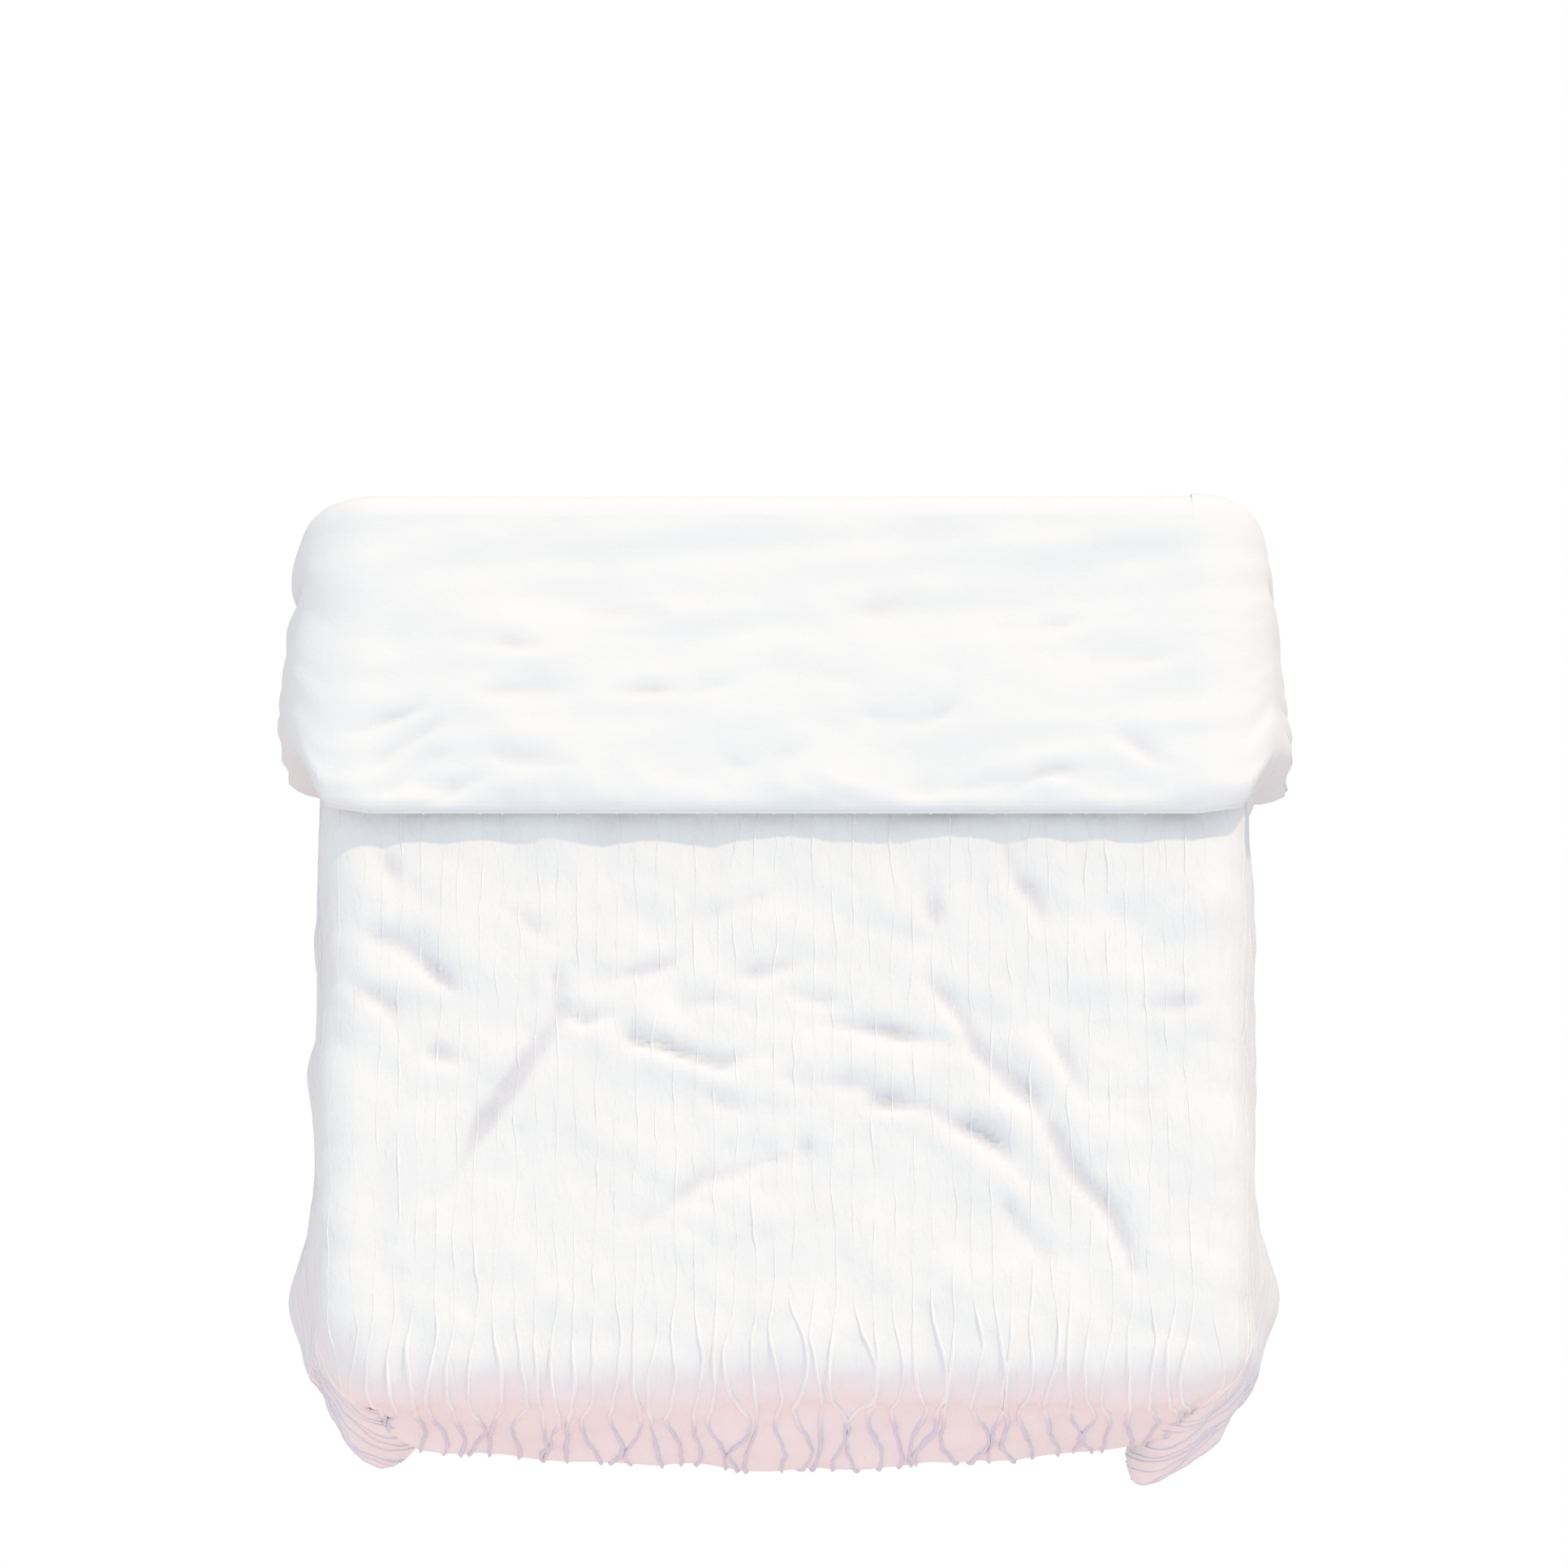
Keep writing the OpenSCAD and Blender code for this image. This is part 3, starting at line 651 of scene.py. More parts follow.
def buildCrinkle():
    # Crumpled cotton: puckers of two sizes, longer along the cloth than across it
    tree, given, result = addTree(
        "crinkle", "Shader", {"Map": "Vector", "Across": "Float", "Along": "Float"}, {"Height": "Float"})
    big = noiseNode(tree, given["Map"], given["Across"], given["Along"], 3, 0.55)
    slope = mathNode(tree, "ABSOLUTE", mathNode(tree, "SUBTRACT", big, 0.5))
    ridge = mathNode(tree, "SUBTRACT", 1.0, mathNode(tree, "MULTIPLY", slope, crumple["ridge"]))
    ridge = mathNode(tree, "MULTIPLY_ADD", ridge, crumple["ridgeHeight"], big)
    small = noiseNode(tree, given["Map"], *crumple["small"], 2)
    feed(tree, result, {"Height": mathNode(tree, "MULTIPLY_ADD", small, crumple["smallHeight"], ridge)})
    return tree


def buildWear():
    # Faint unevenness of the bleached cotton, from washing
    tree, given, result = addTree(
        "washedTone", "Shader", {"Map": "Vector", "Clean": "Color", "Aged": "Color", "Patch": "Float"},
        {"Color": "Color", "Mask": "Float"})
    patches = noiseNode(tree, given["Map"], given["Patch"], given["Patch"], 4, 0.6)
    ramp = {"From Min": washed["from"], "From Max": washed["to"], "Value": patches}
    mask = addNode(tree, "ShaderNodeMapRange", ramp)[0]
    feed(tree, result, {"Color": mixNode(tree, mask, given["Clean"], given["Aged"]), "Mask": mask})
    return tree


weaveGroup, crinkleGroup, wearGroup = buildWeave(), buildCrinkle(), buildWear()


def newMaterial(name):
    material = bpy.data.materials.new(name)
    material.use_nodes = True
    return material, material.node_tree, material.node_tree.nodes["Principled BSDF"].inputs


def clothFinish(name, clean, aged, cloth, mapName="clothMap", paintedShadeTone=None):
    material, tree, shader = newMaterial(name)
    if mapName:
        vector = addNode(tree, "ShaderNodeUVMap", uv_map=mapName)[0]
    else:
        vector = addNode(tree, "ShaderNodeTexCoord")["Object"]
    tone, weave, crinkle = (
        addNode(tree, "ShaderNodeGroup", {"Map": vector, **values}, node_tree=group) for group, values in (
            (wearGroup, {"Clean": (*clean, 1), "Aged": (*aged, 1), "Patch": cloth["patch"]}),
            (weaveGroup, {"Thread": cloth["thread"]}),
            (crinkleGroup, {"Across": cloth["across"], "Along": cloth["along"]})))
    color = mixNode(tree, cotton["gapTone"], tone["Color"], weave["Gap"], "MULTIPLY")
    if mapName:
        # Painted shade: a little greyer down in the creases
        hollow = addNode(tree, "ShaderNodeAttribute", attribute_name="hollow")["Fac"]
        color = mixNode(tree, hollow, color, cotton["hollow"], "MULTIPLY")
    # Painted shade: blue-grey lower down, below the rounding of the foot, where the tucks hang in shade
    if paintedShadeTone:
        # Greyer where the tuck is drawn tight, below the rounding of the foot
        height = addNode(tree, "ShaderNodeSeparateXYZ", {0: vector})[2]
        ramp = {"From Min": cotton["tightFrom"], "From Max": cotton["tightTo"], "Value": height}
        paintedShadeMask = addNode(tree, "ShaderNodeMapRange", ramp, interpolation_type="SMOOTHSTEP")[0]
        color = mixNode(tree, paintedShadeMask, color, (*paintedShadeTone, 1))
    relief = {}
    for outputs, depth in ((crinkle, cloth["crinkleDepth"]), (weave, cloth["threadDepth"])):
        values = {"Distance": depth, "Strength": 1.0, "Height": outputs["Height"], **relief}
        relief = {"Normal": addNode(tree, "ShaderNodeBump", values)[0]}
    rough = mathNode(tree, "MULTIPLY_ADD", tone["Mask"], washed["rougher"], cloth["rough"])
    feed(tree, shader, {
        "Base Color": color, "Roughness": rough, "Specular IOR Level": cotton["specular"],
        "Sheen Weight": cloth["sheen"], "Sheen Roughness": cotton["sheenRough"], **relief})
    return material


def waveFinish(name, colors, wave, rough, extra):
    # Two tones in waves, and a roughness that follows them
    material, tree, shader = newMaterial(name)
    place = addNode(tree, "ShaderNodeTexCoord")["Object"]
    tone = addNode(tree, "ShaderNodeTexWave", {"Vector": place, **wave})["Fac"]
    feed(tree, shader, {
        "Base Color": mixNode(tree, tone, *[(*color, 1) for color in colors]),
        "Roughness": mathNode(tree, "MULTIPLY_ADD", tone, *rough), **extra})
    return material


clothKeys = ("patch", "thread", "threadDepth", "across", "along", "crinkleDepth", "rough", "sheen")
faceCloth, plainCloth, tapeCloth, tickCloth = (dict(zip(clothKeys, values)) for values in (
    (0.13, 0.0008, 0.00006, 0.017, 0.055, 0.0022, 0.86, 0.12),
    (0.16, 0.0005, 0.00003, 0.05, 0.035, 0.0009, 0.80, 0.10),
    (0.02, 0.0006, 0.0001, 0.004, 0.004, 0.0003, 0.85, 0.2),
    (0.1, 0.0003, 0.00002, 0.03, 0.03, 0.001, 0.7, 0.1)))
pintuckCotton = clothFinish("pintuckCotton", (0.885, 0.880, 0.870), (0.865, 0.858, 0.850), faceCloth)
plainCotton = clothFinish("plainCotton", (0.885, 0.882, 0.874), (0.870, 0.866, 0.860), plainCloth)
ridgeCotton = clothFinish("ridgeCotton", (0.885, 0.880, 0.870), (0.85, 0.845, 0.84), faceCloth, None)
# The lower layer's tucks: a lighter tone than the face as a painted highlight where they stand proud, and
# painted shade lower down on the drop
tightCotton = clothFinish(
    "tightCotton", (0.96, 0.955, 0.95), (0.93, 0.925, 0.92), faceCloth, None, (0.73, 0.74, 0.82))
hemCotton = clothFinish("hemCotton", (0.87, 0.865, 0.855), (0.84, 0.835, 0.825), plainCloth, None)
# Painted shade: the tuck ends past the hem are the cover's white cotton, coloured blue-grey for the shade
# they hang in
knotCotton = clothFinish("knotCotton", (0.60, 0.62, 0.71), (0.52, 0.54, 0.63), plainCloth, None)
ticking = clothFinish("downProofTicking", (0.83, 0.82, 0.79), (0.80, 0.79, 0.76), tickCloth)
tapeCotton = clothFinish("tapeCotton", (0.86, 0.85, 0.83), (0.82, 0.81, 0.78), tapeCloth, None)
resin = waveFinish(
    "shellResin", [(0.86, 0.84, 0.80), (0.78, 0.76, 0.72)], {"Scale": 70, "Distortion": 9, "Detail": 3},
    (0.12, 0.22), {"Coat Weight": 0.4})
threadTone = (0.88, 0.88, 0.87)
sewingThread = waveFinish(
    "sewingThread", [threadTone, [0.93 * part for part in threadTone]], {"Scale": 900},
    (0.1, 0.6), {"Sheen Weight": 0.2})
print("finishes built")

# ---- node trees for what repeats ----


def attributeNode(tree, name, kind="FLOAT_VECTOR"):
    return addNode(tree, "GeometryNodeInputNamedAttribute", {"Name": name}, data_type=kind)[0]


def finishTree(tree, material, result, geometry):
    real = addNode(tree, "GeometryNodeRealizeInstances", {"Geometry": geometry})[0]
    smooth = addNode(tree, "GeometryNodeSetShadeSmooth", {0: real})[0]
    painted = addNode(tree, "GeometryNodeSetMaterial", {"Geometry": smooth, "Material": material})[0]
    feed(tree, result, {0: painted})
    return tree


def buildSweep():
    # Sweeps an oval along lines; the lines carry which way is outward and how much it swells
    tree, given, result = addTree("sweptRidge", "Geometry", {
        "Geometry": "Geometry", "Half Width": "Float", "Height": "Float", "Sides": "Int",
        "Material": "Material"}, {"Geometry": "Geometry"})
    curve = addNode(tree, "GeometryNodeMeshToCurve", {"Mesh": given["Geometry"]})[0]
    turned = addNode(tree, "GeometryNodeSetCurveNormal", {
        "Curve": curve, "Normal": attributeNode(tree, "outward")}, mode="FREE")[0]
    oval = addNode(tree, "GeometryNodeCurvePrimitiveCircle", {"Resolution": given["Sides"], "Radius": 1.0})[0]
    size = addNode(tree, "ShaderNodeCombineXYZ", enumerate((given["Height"], given["Half Width"], 1.0)))[0]
    shaped = addNode(tree, "GeometryNodeTransform", {"Geometry": oval, "Scale": size})[0]
    swept = addNode(tree, "GeometryNodeCurveToMesh", {
        "Curve": turned, "Profile Curve": shaped, "Scale": attributeNode(tree, "swell", "FLOAT"),
        "Fill Caps": True})[0]
    return finishTree(tree, given["Material"], result, swept)


def buildScatter():
    # Puts a small part on every point, its Z outward and its X along the row
    tree, given, result = addTree("sewnRow", "Geometry", {
        "Geometry": "Geometry", "Part": "Object", "Slant": "Float", "Seed": "Int",
        "Material": "Material"}, {"Geometry": "Geometry"})
    facing = addNode(tree, "FunctionNodeAxesToRotation", {
        "Primary Axis": attributeNode(tree, "outward"), "Secondary Axis": attributeNode(tree, "along")})[0]
    less = mathNode(tree, "MULTIPLY", given["Slant"], -1.0)
    turn = addNode(tree, "FunctionNodeRandomValue", {
        "Seed": given["Seed"], 2: less, 3: given["Slant"]}, data_type="FLOAT")[1]
    spin = addNode(tree, "ShaderNodeCombineXYZ", {"Z": turn})[0]
    rotate = addNode(tree, "FunctionNodeRotateRotation", {0: facing, 1: spin}, rotation_space="LOCAL")[0]
    part = addNode(tree, "GeometryNodeObjectInfo", {"Object": given["Part"]})["Geometry"]
    put = addNode(tree, "GeometryNodeInstanceOnPoints", {
        "Points": given["Geometry"], "Instance": part, "Rotation": rotate})[0]
    return finishTree(tree, given["Material"], result, put)


sweepTree, scatterTree = buildSweep(), buildScatter()


def bake(name, mesh, tree, values):
    # Runs a tree on a mesh and keeps its result as a plain mesh
    host = bpy.data.objects.new(name, mesh)
    bpy.context.scene.collection.objects.link(host)
    modifier = host.modifiers.new("build", "NODES")
    modifier.node_group = tree
    for item in tree.interface.items_tree:
        if item.item_type == "SOCKET" and item.in_out == "INPUT" and item.name in values:
            modifier[item.identifier] = values[item.name]
    host.update_tag()
    bpy.context.view_layer.update()
    result = bpy.data.meshes.new_from_object(host.evaluated_get(bpy.context.evaluated_depsgraph_get()))
    bpy.data.objects.remove(host)
    return addPiece(name, result, values["Material"])


def linesMesh(name, runs):
    # Polylines, each as (points, outward, swell)
    mesh = bpy.data.meshes.new(name)
    points, edges, start = [], [], 0
    for run in runs:
        n = len(run[0])
        points.append(run[0])
        edges += [(start + k, start + k + 1) for k in range(n - 1)]
        start += n
    mesh.from_pydata(np.concatenate(points).tolist(), edges, [])
    out = mesh.attributes.new("outward", "FLOAT_VECTOR", "POINT")
    out.data.foreach_set("vector", np.concatenate([r[1] for r in runs]).astype(np.float32).ravel())
    swell = mesh.attributes.new("swell", "FLOAT", "POINT")
    swell.data.foreach_set("value", np.concatenate([r[2] for r in runs]).astype(np.float32))
    return mesh


def sweep(name, runs, halfWidth, height, sides, material):
    return bake(name, linesMesh(name, runs), sweepTree,
                {"Half Width": halfWidth, "Height": height, "Sides": sides, "Material": material})


def unit(vectors):
    return vectors / np.maximum(np.linalg.norm(vectors, axis=-1, keepdims=True), 1e-12)


def pointsMesh(name, points, outward, along):
    mesh = bpy.data.meshes.new(name)
    mesh.from_pydata(points.tolist(), [], [])
    for label, vectors in (("outward", outward), ("along", along)):
        layer = mesh.attributes.new(label, "FLOAT_VECTOR", "POINT")
        layer.data.foreach_set("vector", vectors.astype(np.float32).ravel())
    return mesh


def tuckRuns(cloth, points, which, uFrom, uTo, vFrom, vTo):
    runs = []
    limit = int(max(abs(uFrom), abs(uTo)) / tucks["pitch"]) + 2
    for number in range(-limit, limit + 1):
        u0 = (number + 0.5) * tucks["pitch"]
        if not uFrom + 0.004 < u0 < uTo - 0.004:
            continue
        v = np.linspace(vFrom, vTo, max(4, round((vTo - vFrom) / tucks["step"])))
        u = np.clip(tuckPath(number + 0.5, v) if which > 0 else
                    u0 + 0.003 * softNoise(v, u0 * 90, 0.16, 77), uFrom + 0.001, uTo - 0.001)
        place = sample(cloth, points, u, v)
        outward = which * unit(sample(cloth, cloth["normal"], u, v))
        lean = 0.35 * softNoise(v, number * 4.7, 0.10, 79)[:, None]
        along = unit(np.gradient(place, axis=0))
        outward = unit(outward + lean * np.cross(along, outward))
        swell = 0.36 + 0.22 * softNoise(v, number * 5.9, 0.16, 81)
        swell = swell + 0.06 * softNoise(v, number * 4.1, 0.03, 85)
        if which > 0:
            inside = 1 - 0.65 * smoothStep(abs(u), cornerX + 0.02, cornerX + 0.08)
            swell = swell * inside + 1.0 * inside * smoothStep(-v, -footY - 0.10, -footY + 0.01)
        runs.append((place, outward, swell.clip(0.12, 1.6)))
    return runs


def nubRuns(runs, length):
    # The end of each tuck, gathered into a small knot past the hem
    nubs = []
    for k, (place, outward, swell) in enumerate(runs):
        along = unit(place[1] - place[0])
        much = 0.65 + 0.5 * math.sin(2.3 * k) ** 2
        at = np.array([0.5, 0.15, -0.35, -0.8, -1.05])[:, None] * length * much
        points = place[0] + at * along + 0.001 * outward[0]
        thick = np.array([0.45, 0.9, 1.15, 1.0, 0.55]) * (0.8 + 0.3 * much)
        nubs.append((points, np.tile(outward[0], (5, 1)), thick))
    return nubs


def ride(piece, body, slot, *nodes):
    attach(piece, body)
    if nodes:
        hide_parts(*nodes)
    return piece


def bridge(bm, rings):
    # Faces between rings of vertices, one of which may be a single point
    for near, far in zip(rings, rings[1:]):
        for k in range(max(len(near), len(far))):
            corners = (near[k % len(near)], near[(k + 1) % len(near)],
                       far[(k + 1) % len(far)], far[k % len(far)])
            bm.faces.new(tuple(dict.fromkeys(corners)))


def partFrom(name, bm):
    bmesh.ops.recalc_face_normals(bm, faces=bm.faces)
    mesh = bpy.data.meshes.new(name)
    bm.to_mesh(mesh)
    return bpy.data.objects.new(name, mesh)


def stitchPart():
    # One stitch, a thread rising and dipping, 3.4 mm long
    bm, rings = bmesh.new(), []
    for t in (-1.0, -0.55, 0.0, 0.55, 1.0):
        thick = 0.00038 * (1 - 0.75 * t * t)
        middle = 0.00042 * (1 - t * t) - 0.0001
        rings.append([bm.verts.new((0.0017 * t, thick * 1.3 * math.cos(a), middle + thick * math.sin(a)))
                      for a in (0.5, 1.75, 3.0, 4.25, 5.5)])
    bridge(bm, rings)
    bm.faces.new(rings[0][::-1])
    bm.faces.new(rings[-1])
    return partFrom("stitchPart", bm)


stitch = stitchPart()


def stitchRow(name, cloth, points, track, spacing=0.0048):
    # A row of stitches along a (u, v) track on a grid of points
    track = np.asarray(track, float)
    length = np.concatenate([[0], np.cumsum(np.hypot(*np.diff(track, axis=0).T))])
    at = np.arange(spacing / 2, length[-1], spacing)
    u, v = np.interp(at, length, track[:, 0]), np.interp(at, length, track[:, 1])
    places = sample(cloth, points, u, v)
    outward = unit(sample(cloth, cloth["normal"], u, v))
    mesh = pointsMesh(name, places, outward, unit(np.gradient(places, axis=0)))
    return bake(name, mesh, scatterTree, {"Part": stitch, "Slant": 0.12, "Seed": 5, "Material": sewingThread})


# ---- lower layer ----

# Spacing of the grids, how far the insert stays inside the seams, and its slack in the cover
panel = {"mesh": 0.0102, "under": (0.016, 0.014), "insert": 0.02, "insertIn": 0.012, "slack": 0.0015}
seam = {"halfWidth": 0.0042, "height": 0.0056, "sides": 8, "stitchIn": 0.011, "lowerIn": 0.010, "points": 60}
gap, insertIn = quilt["cloth"], panel["insertIn"]
slack = gap + panel["slack"]


def lowerGrid(across, along, inset=0.0):
    # The whole lower layer, with closer lines at its seams unless it stays inside them
    sewn = not inset
    return layLower(gridLines(-lowEdgeU + inset, lowEdgeU - inset, across, sewn, sewn),
                    gridLines(lowEdgeV + inset, foldY, along, sewn))


lowerCloth = lowerGrid(panel["mesh"], panel["mesh"])
reverseCloth = lowerGrid(*panel["under"])
coarse = lowerGrid(panel["insert"], panel["insert"], insertIn)
lowerTop, lowerBottom = side(lowerCloth, 1), side(reverseCloth, -1)
lowerFace = closedPanel("lowerFace", lowerCloth, lowerTop, side(lowerCloth, 1, gap), pintuckCotton)
ride(lowerFace, "root", "pintucked_cotton", "main_face")
lowerReverse = closedPanel(
    "lowerReverse", reverseCloth, side(reverseCloth, -1, gap), lowerBottom, plainCotton)
ride(lowerReverse, "root", "plain_cotton", "main_reverse", "fold_lower_cover")
lowerInsert = closedPanel("lowerInsert", coarse, side(coarse, 1, slack), side(coarse, -1, slack), ticking)
ride(lowerInsert, "root", "down_proof_ticking", "insert_shell", "baffle_walls", "down_row_1", "down_row_2",
     "down_row_3", "down_row_4", "down_row_5", "side_down_left", "side_down_right", "foot_down",
     "corner_down_left", "corner_down_right", "fold_lower_down")

runs = tuckRuns(lowerCloth, lowerTop, 1, -lowEdgeU + 0.02, lowEdgeU - 0.02, lowEdgeV, foldY)
lowerTucks = sweep("lowerTucks", runs, tucks["halfWidth"], tucks["height"], 6, tightCotton)
ride(lowerTucks, "root", "pintucked_cotton", "pintucks")
footKnots = sweep("footKnots", nubRuns(runs, tucks["nub"]), *tucks["knot"], 8, knotCotton)
ride(footKnots, "root", "pintucked_cotton")


def evenRun(points, outward):
    return points, outward, np.ones(len(points))


def hemSweep(name, points, outward):
    run = evenRun(points, outward)
    return sweep(name, [run], seam["halfWidth"], seam["height"], seam["sides"], hemCotton)


def sewnEdge(cloth, endLow, endHigh):
    # Points along the sewn edges of a panel, and which way is outward there
    edges = []
    for grid in (cloth["middle"], cloth["normal"]):
        parts = [grid[::-1, 0], grid[0, 1:]] if endLow else [grid[0]]
        edges.append(np.concatenate(parts + ([grid[1:, -1]] if endHigh else [])))
    return edges


# The cloth round the fold: grid spacings, the insert's slack inside it, what is left when it flattens
roll = {"mesh": ((0.0102, 0.005), (0.02, 0.008)), "side": 0.012, "along": 0.006, "slackInside": 0.006,
        "keep": 0.12}


tape = {"tail": 0.045, "halfWidth": 0.0028, "thick": 0.0007, "loop": 0.010, "open": 0.0021, "inset": 0.0068,
        "lowerV": -0.585, "wingV": -0.25}


def tapesInSeam(label, cloth, body, spots, tieNode, loopNode):
    # A tie of the cover run through a loop of the insert, in the hollow inside a seam
    turn = np.linspace(0, 2 * math.pi, 33)
    ties, loops = [], []
    for u, v in spots:
        along = v + np.linspace(-tape["tail"], tape["tail"], 25)
        circle = v + tape["loop"] * np.cos(turn)
        for runs, track, lift in ((ties, along, 0 * along), (loops, circle, tape["open"] * np.sin(turn))):
            across = np.full(len(track), u)
            facing = unit(sample(cloth, cloth["normal"], across, track))
            middle = sample(cloth, cloth["middle"], across, track)
            runs.append(evenRun(middle + lift[:, None] * facing, facing))
    for kind, runs, node in (("Ties", ties, tieNode), ("Loops", loops, loopNode)):
        piece = sweep(label + kind, runs, tape["halfWidth"], tape["thick"], 6, tapeCotton)
        ride(piece, body, "cotton_tape", node)


def roundFold(label, cloth, rough, eased, body=None, plainUpper=False, column=None):
    # The layers where the cloth goes round the fold: insert, both cover layers and, given a column, a hem.
    # With a body, as at the sides, they are attached to it; without one, as in the middle, they stay where
    # they are made
    kinds = [("Face", pintuckCotton, "pintucked_cotton"), ("Reverse", plainCotton, "plain_cotton")]
    upper, lower = kinds[::-1] if plainUpper else kinds
    top, bottom = side(cloth, 1), side(cloth, -1) - eased[..., None] * cloth["normal"]
    lift = gap * cloth["normal"]
    insert = closedPanel(
        label + "Insert", rough, side(rough, 1, slack), side(rough, -1, gap + roll["slackInside"]), ticking)
    made = [(closedPanel(label + upper[0], cloth, top, top - lift, upper[1]), upper[2], top),
            (closedPanel(label + lower[0], cloth, bottom + lift, bottom, lower[1]), lower[2], bottom)]
    hems = []
    if column is not None:
        hems = [hemSweep(label + "Hem", cloth["middle"][:, column], cloth["normal"][:, column])]
    slots = [(insert, "down_proof_ticking"), *[m[:2] for m in made], *[(hem, "plain_cotton") for hem in hems]]
    for piece, slot in slots:
        if body:
            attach(piece, body)
            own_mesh(piece)
        else:
            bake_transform(piece)


def foldRelief(u, s):
    raised, creased = lowerRelief(u, foldY + 0 * s)
    return raised * (1 - smoothStep(s, 0, rollLen)), 0 * creased


def foldEdge(u, s):
    return 1.0 + 0 * u


foldCloth, foldRough = (
    layOut(foldSurface, foldRelief, foldEdge,
           gridLines(-flatX, flatX, across), gridLines(0, 2 * rollLen, along))
    for across, along in roll["mesh"])
eased = flapRelief(foldCloth["u"], 0 * foldCloth["v"])[0] * smoothStep(foldCloth["v"], rollLen, 2 * rollLen)
roundFold("fold", foldCloth, foldRough, eased)
for one, label in ((-1, "leftFold"), (1, "rightFold")):
    low, high = sorted((one * flatX, one * lowEdgeU))
    along = gridLines(foldY, foldY + rollLen, roll["along"])
    sewn = layLower(gridLines(low, high, roll["side"], one < 0, one > 0), along)
    inner = (low + insertIn * (one < 0), high - insertIn * (one > 0))
    loose = layLower(gridLines(*inner, panel["insert"]), along)
    roundFold(label, sewn, loose, 0 * sewn["u"], "root", False, 0 if one < 0 else -1)

lowerHem = hemSweep("lowerHem", *sewnEdge(lowerCloth, True, True))
ride(lowerHem, "root", "plain_cotton", "side_seam_left", "side_seam_right", "foot_seam")
inU, inV = lowEdgeU - seam["lowerIn"], lowEdgeV + seam["lowerIn"]
track = [(-inU, foldY), *[(-inU, t) for t in np.linspace(foldY - 0.01, inV, 160)],
         *[(t, inV) for t in np.linspace(-inU, inU, 200)], *[(inU, t) for t in np.linspace(inV, foldY, 160)]]
lowerStitches = stitchRow("lowerStitches", lowerCloth, lowerTop, track)
ride(lowerStitches, "root", "plain_cotton")
inside = lowEdgeU - tape["inset"]
tapesInSeam("corner", lowerCloth, "root", [(one * inside, tape["lowerV"]) for one in (-1, 1)],
            "corner_ties", "insert_loops")
print("lower layer built", len(lowerFace.data.polygons), len(lowerTucks.data.polygons))

# ---- turned-back end, its bends and its wings ----

halfBend = flatX + topBend / 2
zones = [("flap", None, -flatX, flatX)]
for one, label in ((-1, "left"), (1, "right")):
    for part, a, b in (("BendInner", flatX, halfBend), ("BendOuter", halfBend, flatX + topBend),
                       ("Wing", flatX + topBend, topEdgeU)):
        zones.append((label + part, one, *sorted((one * a, one * b))))


def bendPoint(one, angle):
    # On the bend, nearer its centre than any of the cloth
    return (one * (flatX + 0.08 * math.sin(angle)), 0.48, 0.08 * math.cos(angle) - quilt["mattressRound"])


def place(piece, zone, one, slot, nodes):
    label = "left" if one == -1 else "right"
    if nodes:
        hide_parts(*nodes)
    if zone == "flap":
        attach(piece, "turn_back")
    elif zone.endswith("Wing"):
        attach(piece, f"{label}_wing")
    elif zone.endswith("Inner"):
        bendPoint(one, 0)
        bendPoint(one, turnAngle / 2)
        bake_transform(piece)
    else:
        ends = [bendPoint(one, angle) for angle in (turnAngle / 2, turnAngle)]
        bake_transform(piece)


def nodesFor(zone, one):
    # The CAD nodes that a zone's pieces stand in for
    label = "left" if one == -1 else "right"
    if zone == "flap":
        return {"Reverse": ["flap_reverse", "fold_upper_cover"], "Face": ["flap_face"],
                "Insert": ["flap_shell", "flap_baffles", "flap_down_1", "flap_down_2", "fold_upper_down"],
                "Hem": ["head_seam"], "Tucks": ["flap_pintucks"]}
    if zone.endswith("Wing"):
        return {"Reverse": [f"{label}_wing_reverse", f"{label}_wing_fold"], "Face": [f"{label}_wing_face"],
                "Insert": [f"{label}_wing_shell", f"{label}_wing_down"], "Hem": [f"{label}_wing_seam"]}
    if zone.endswith("Inner"):
        return {"Reverse": [f"{label}_bend_cover"], "Insert": [f"{label}_bend_down"]}
    return {}


upper = {"flapMesh": 0.0095, "sideMesh": 0.0085, "faceMesh": 0.013, "insertMesh": 0.018}

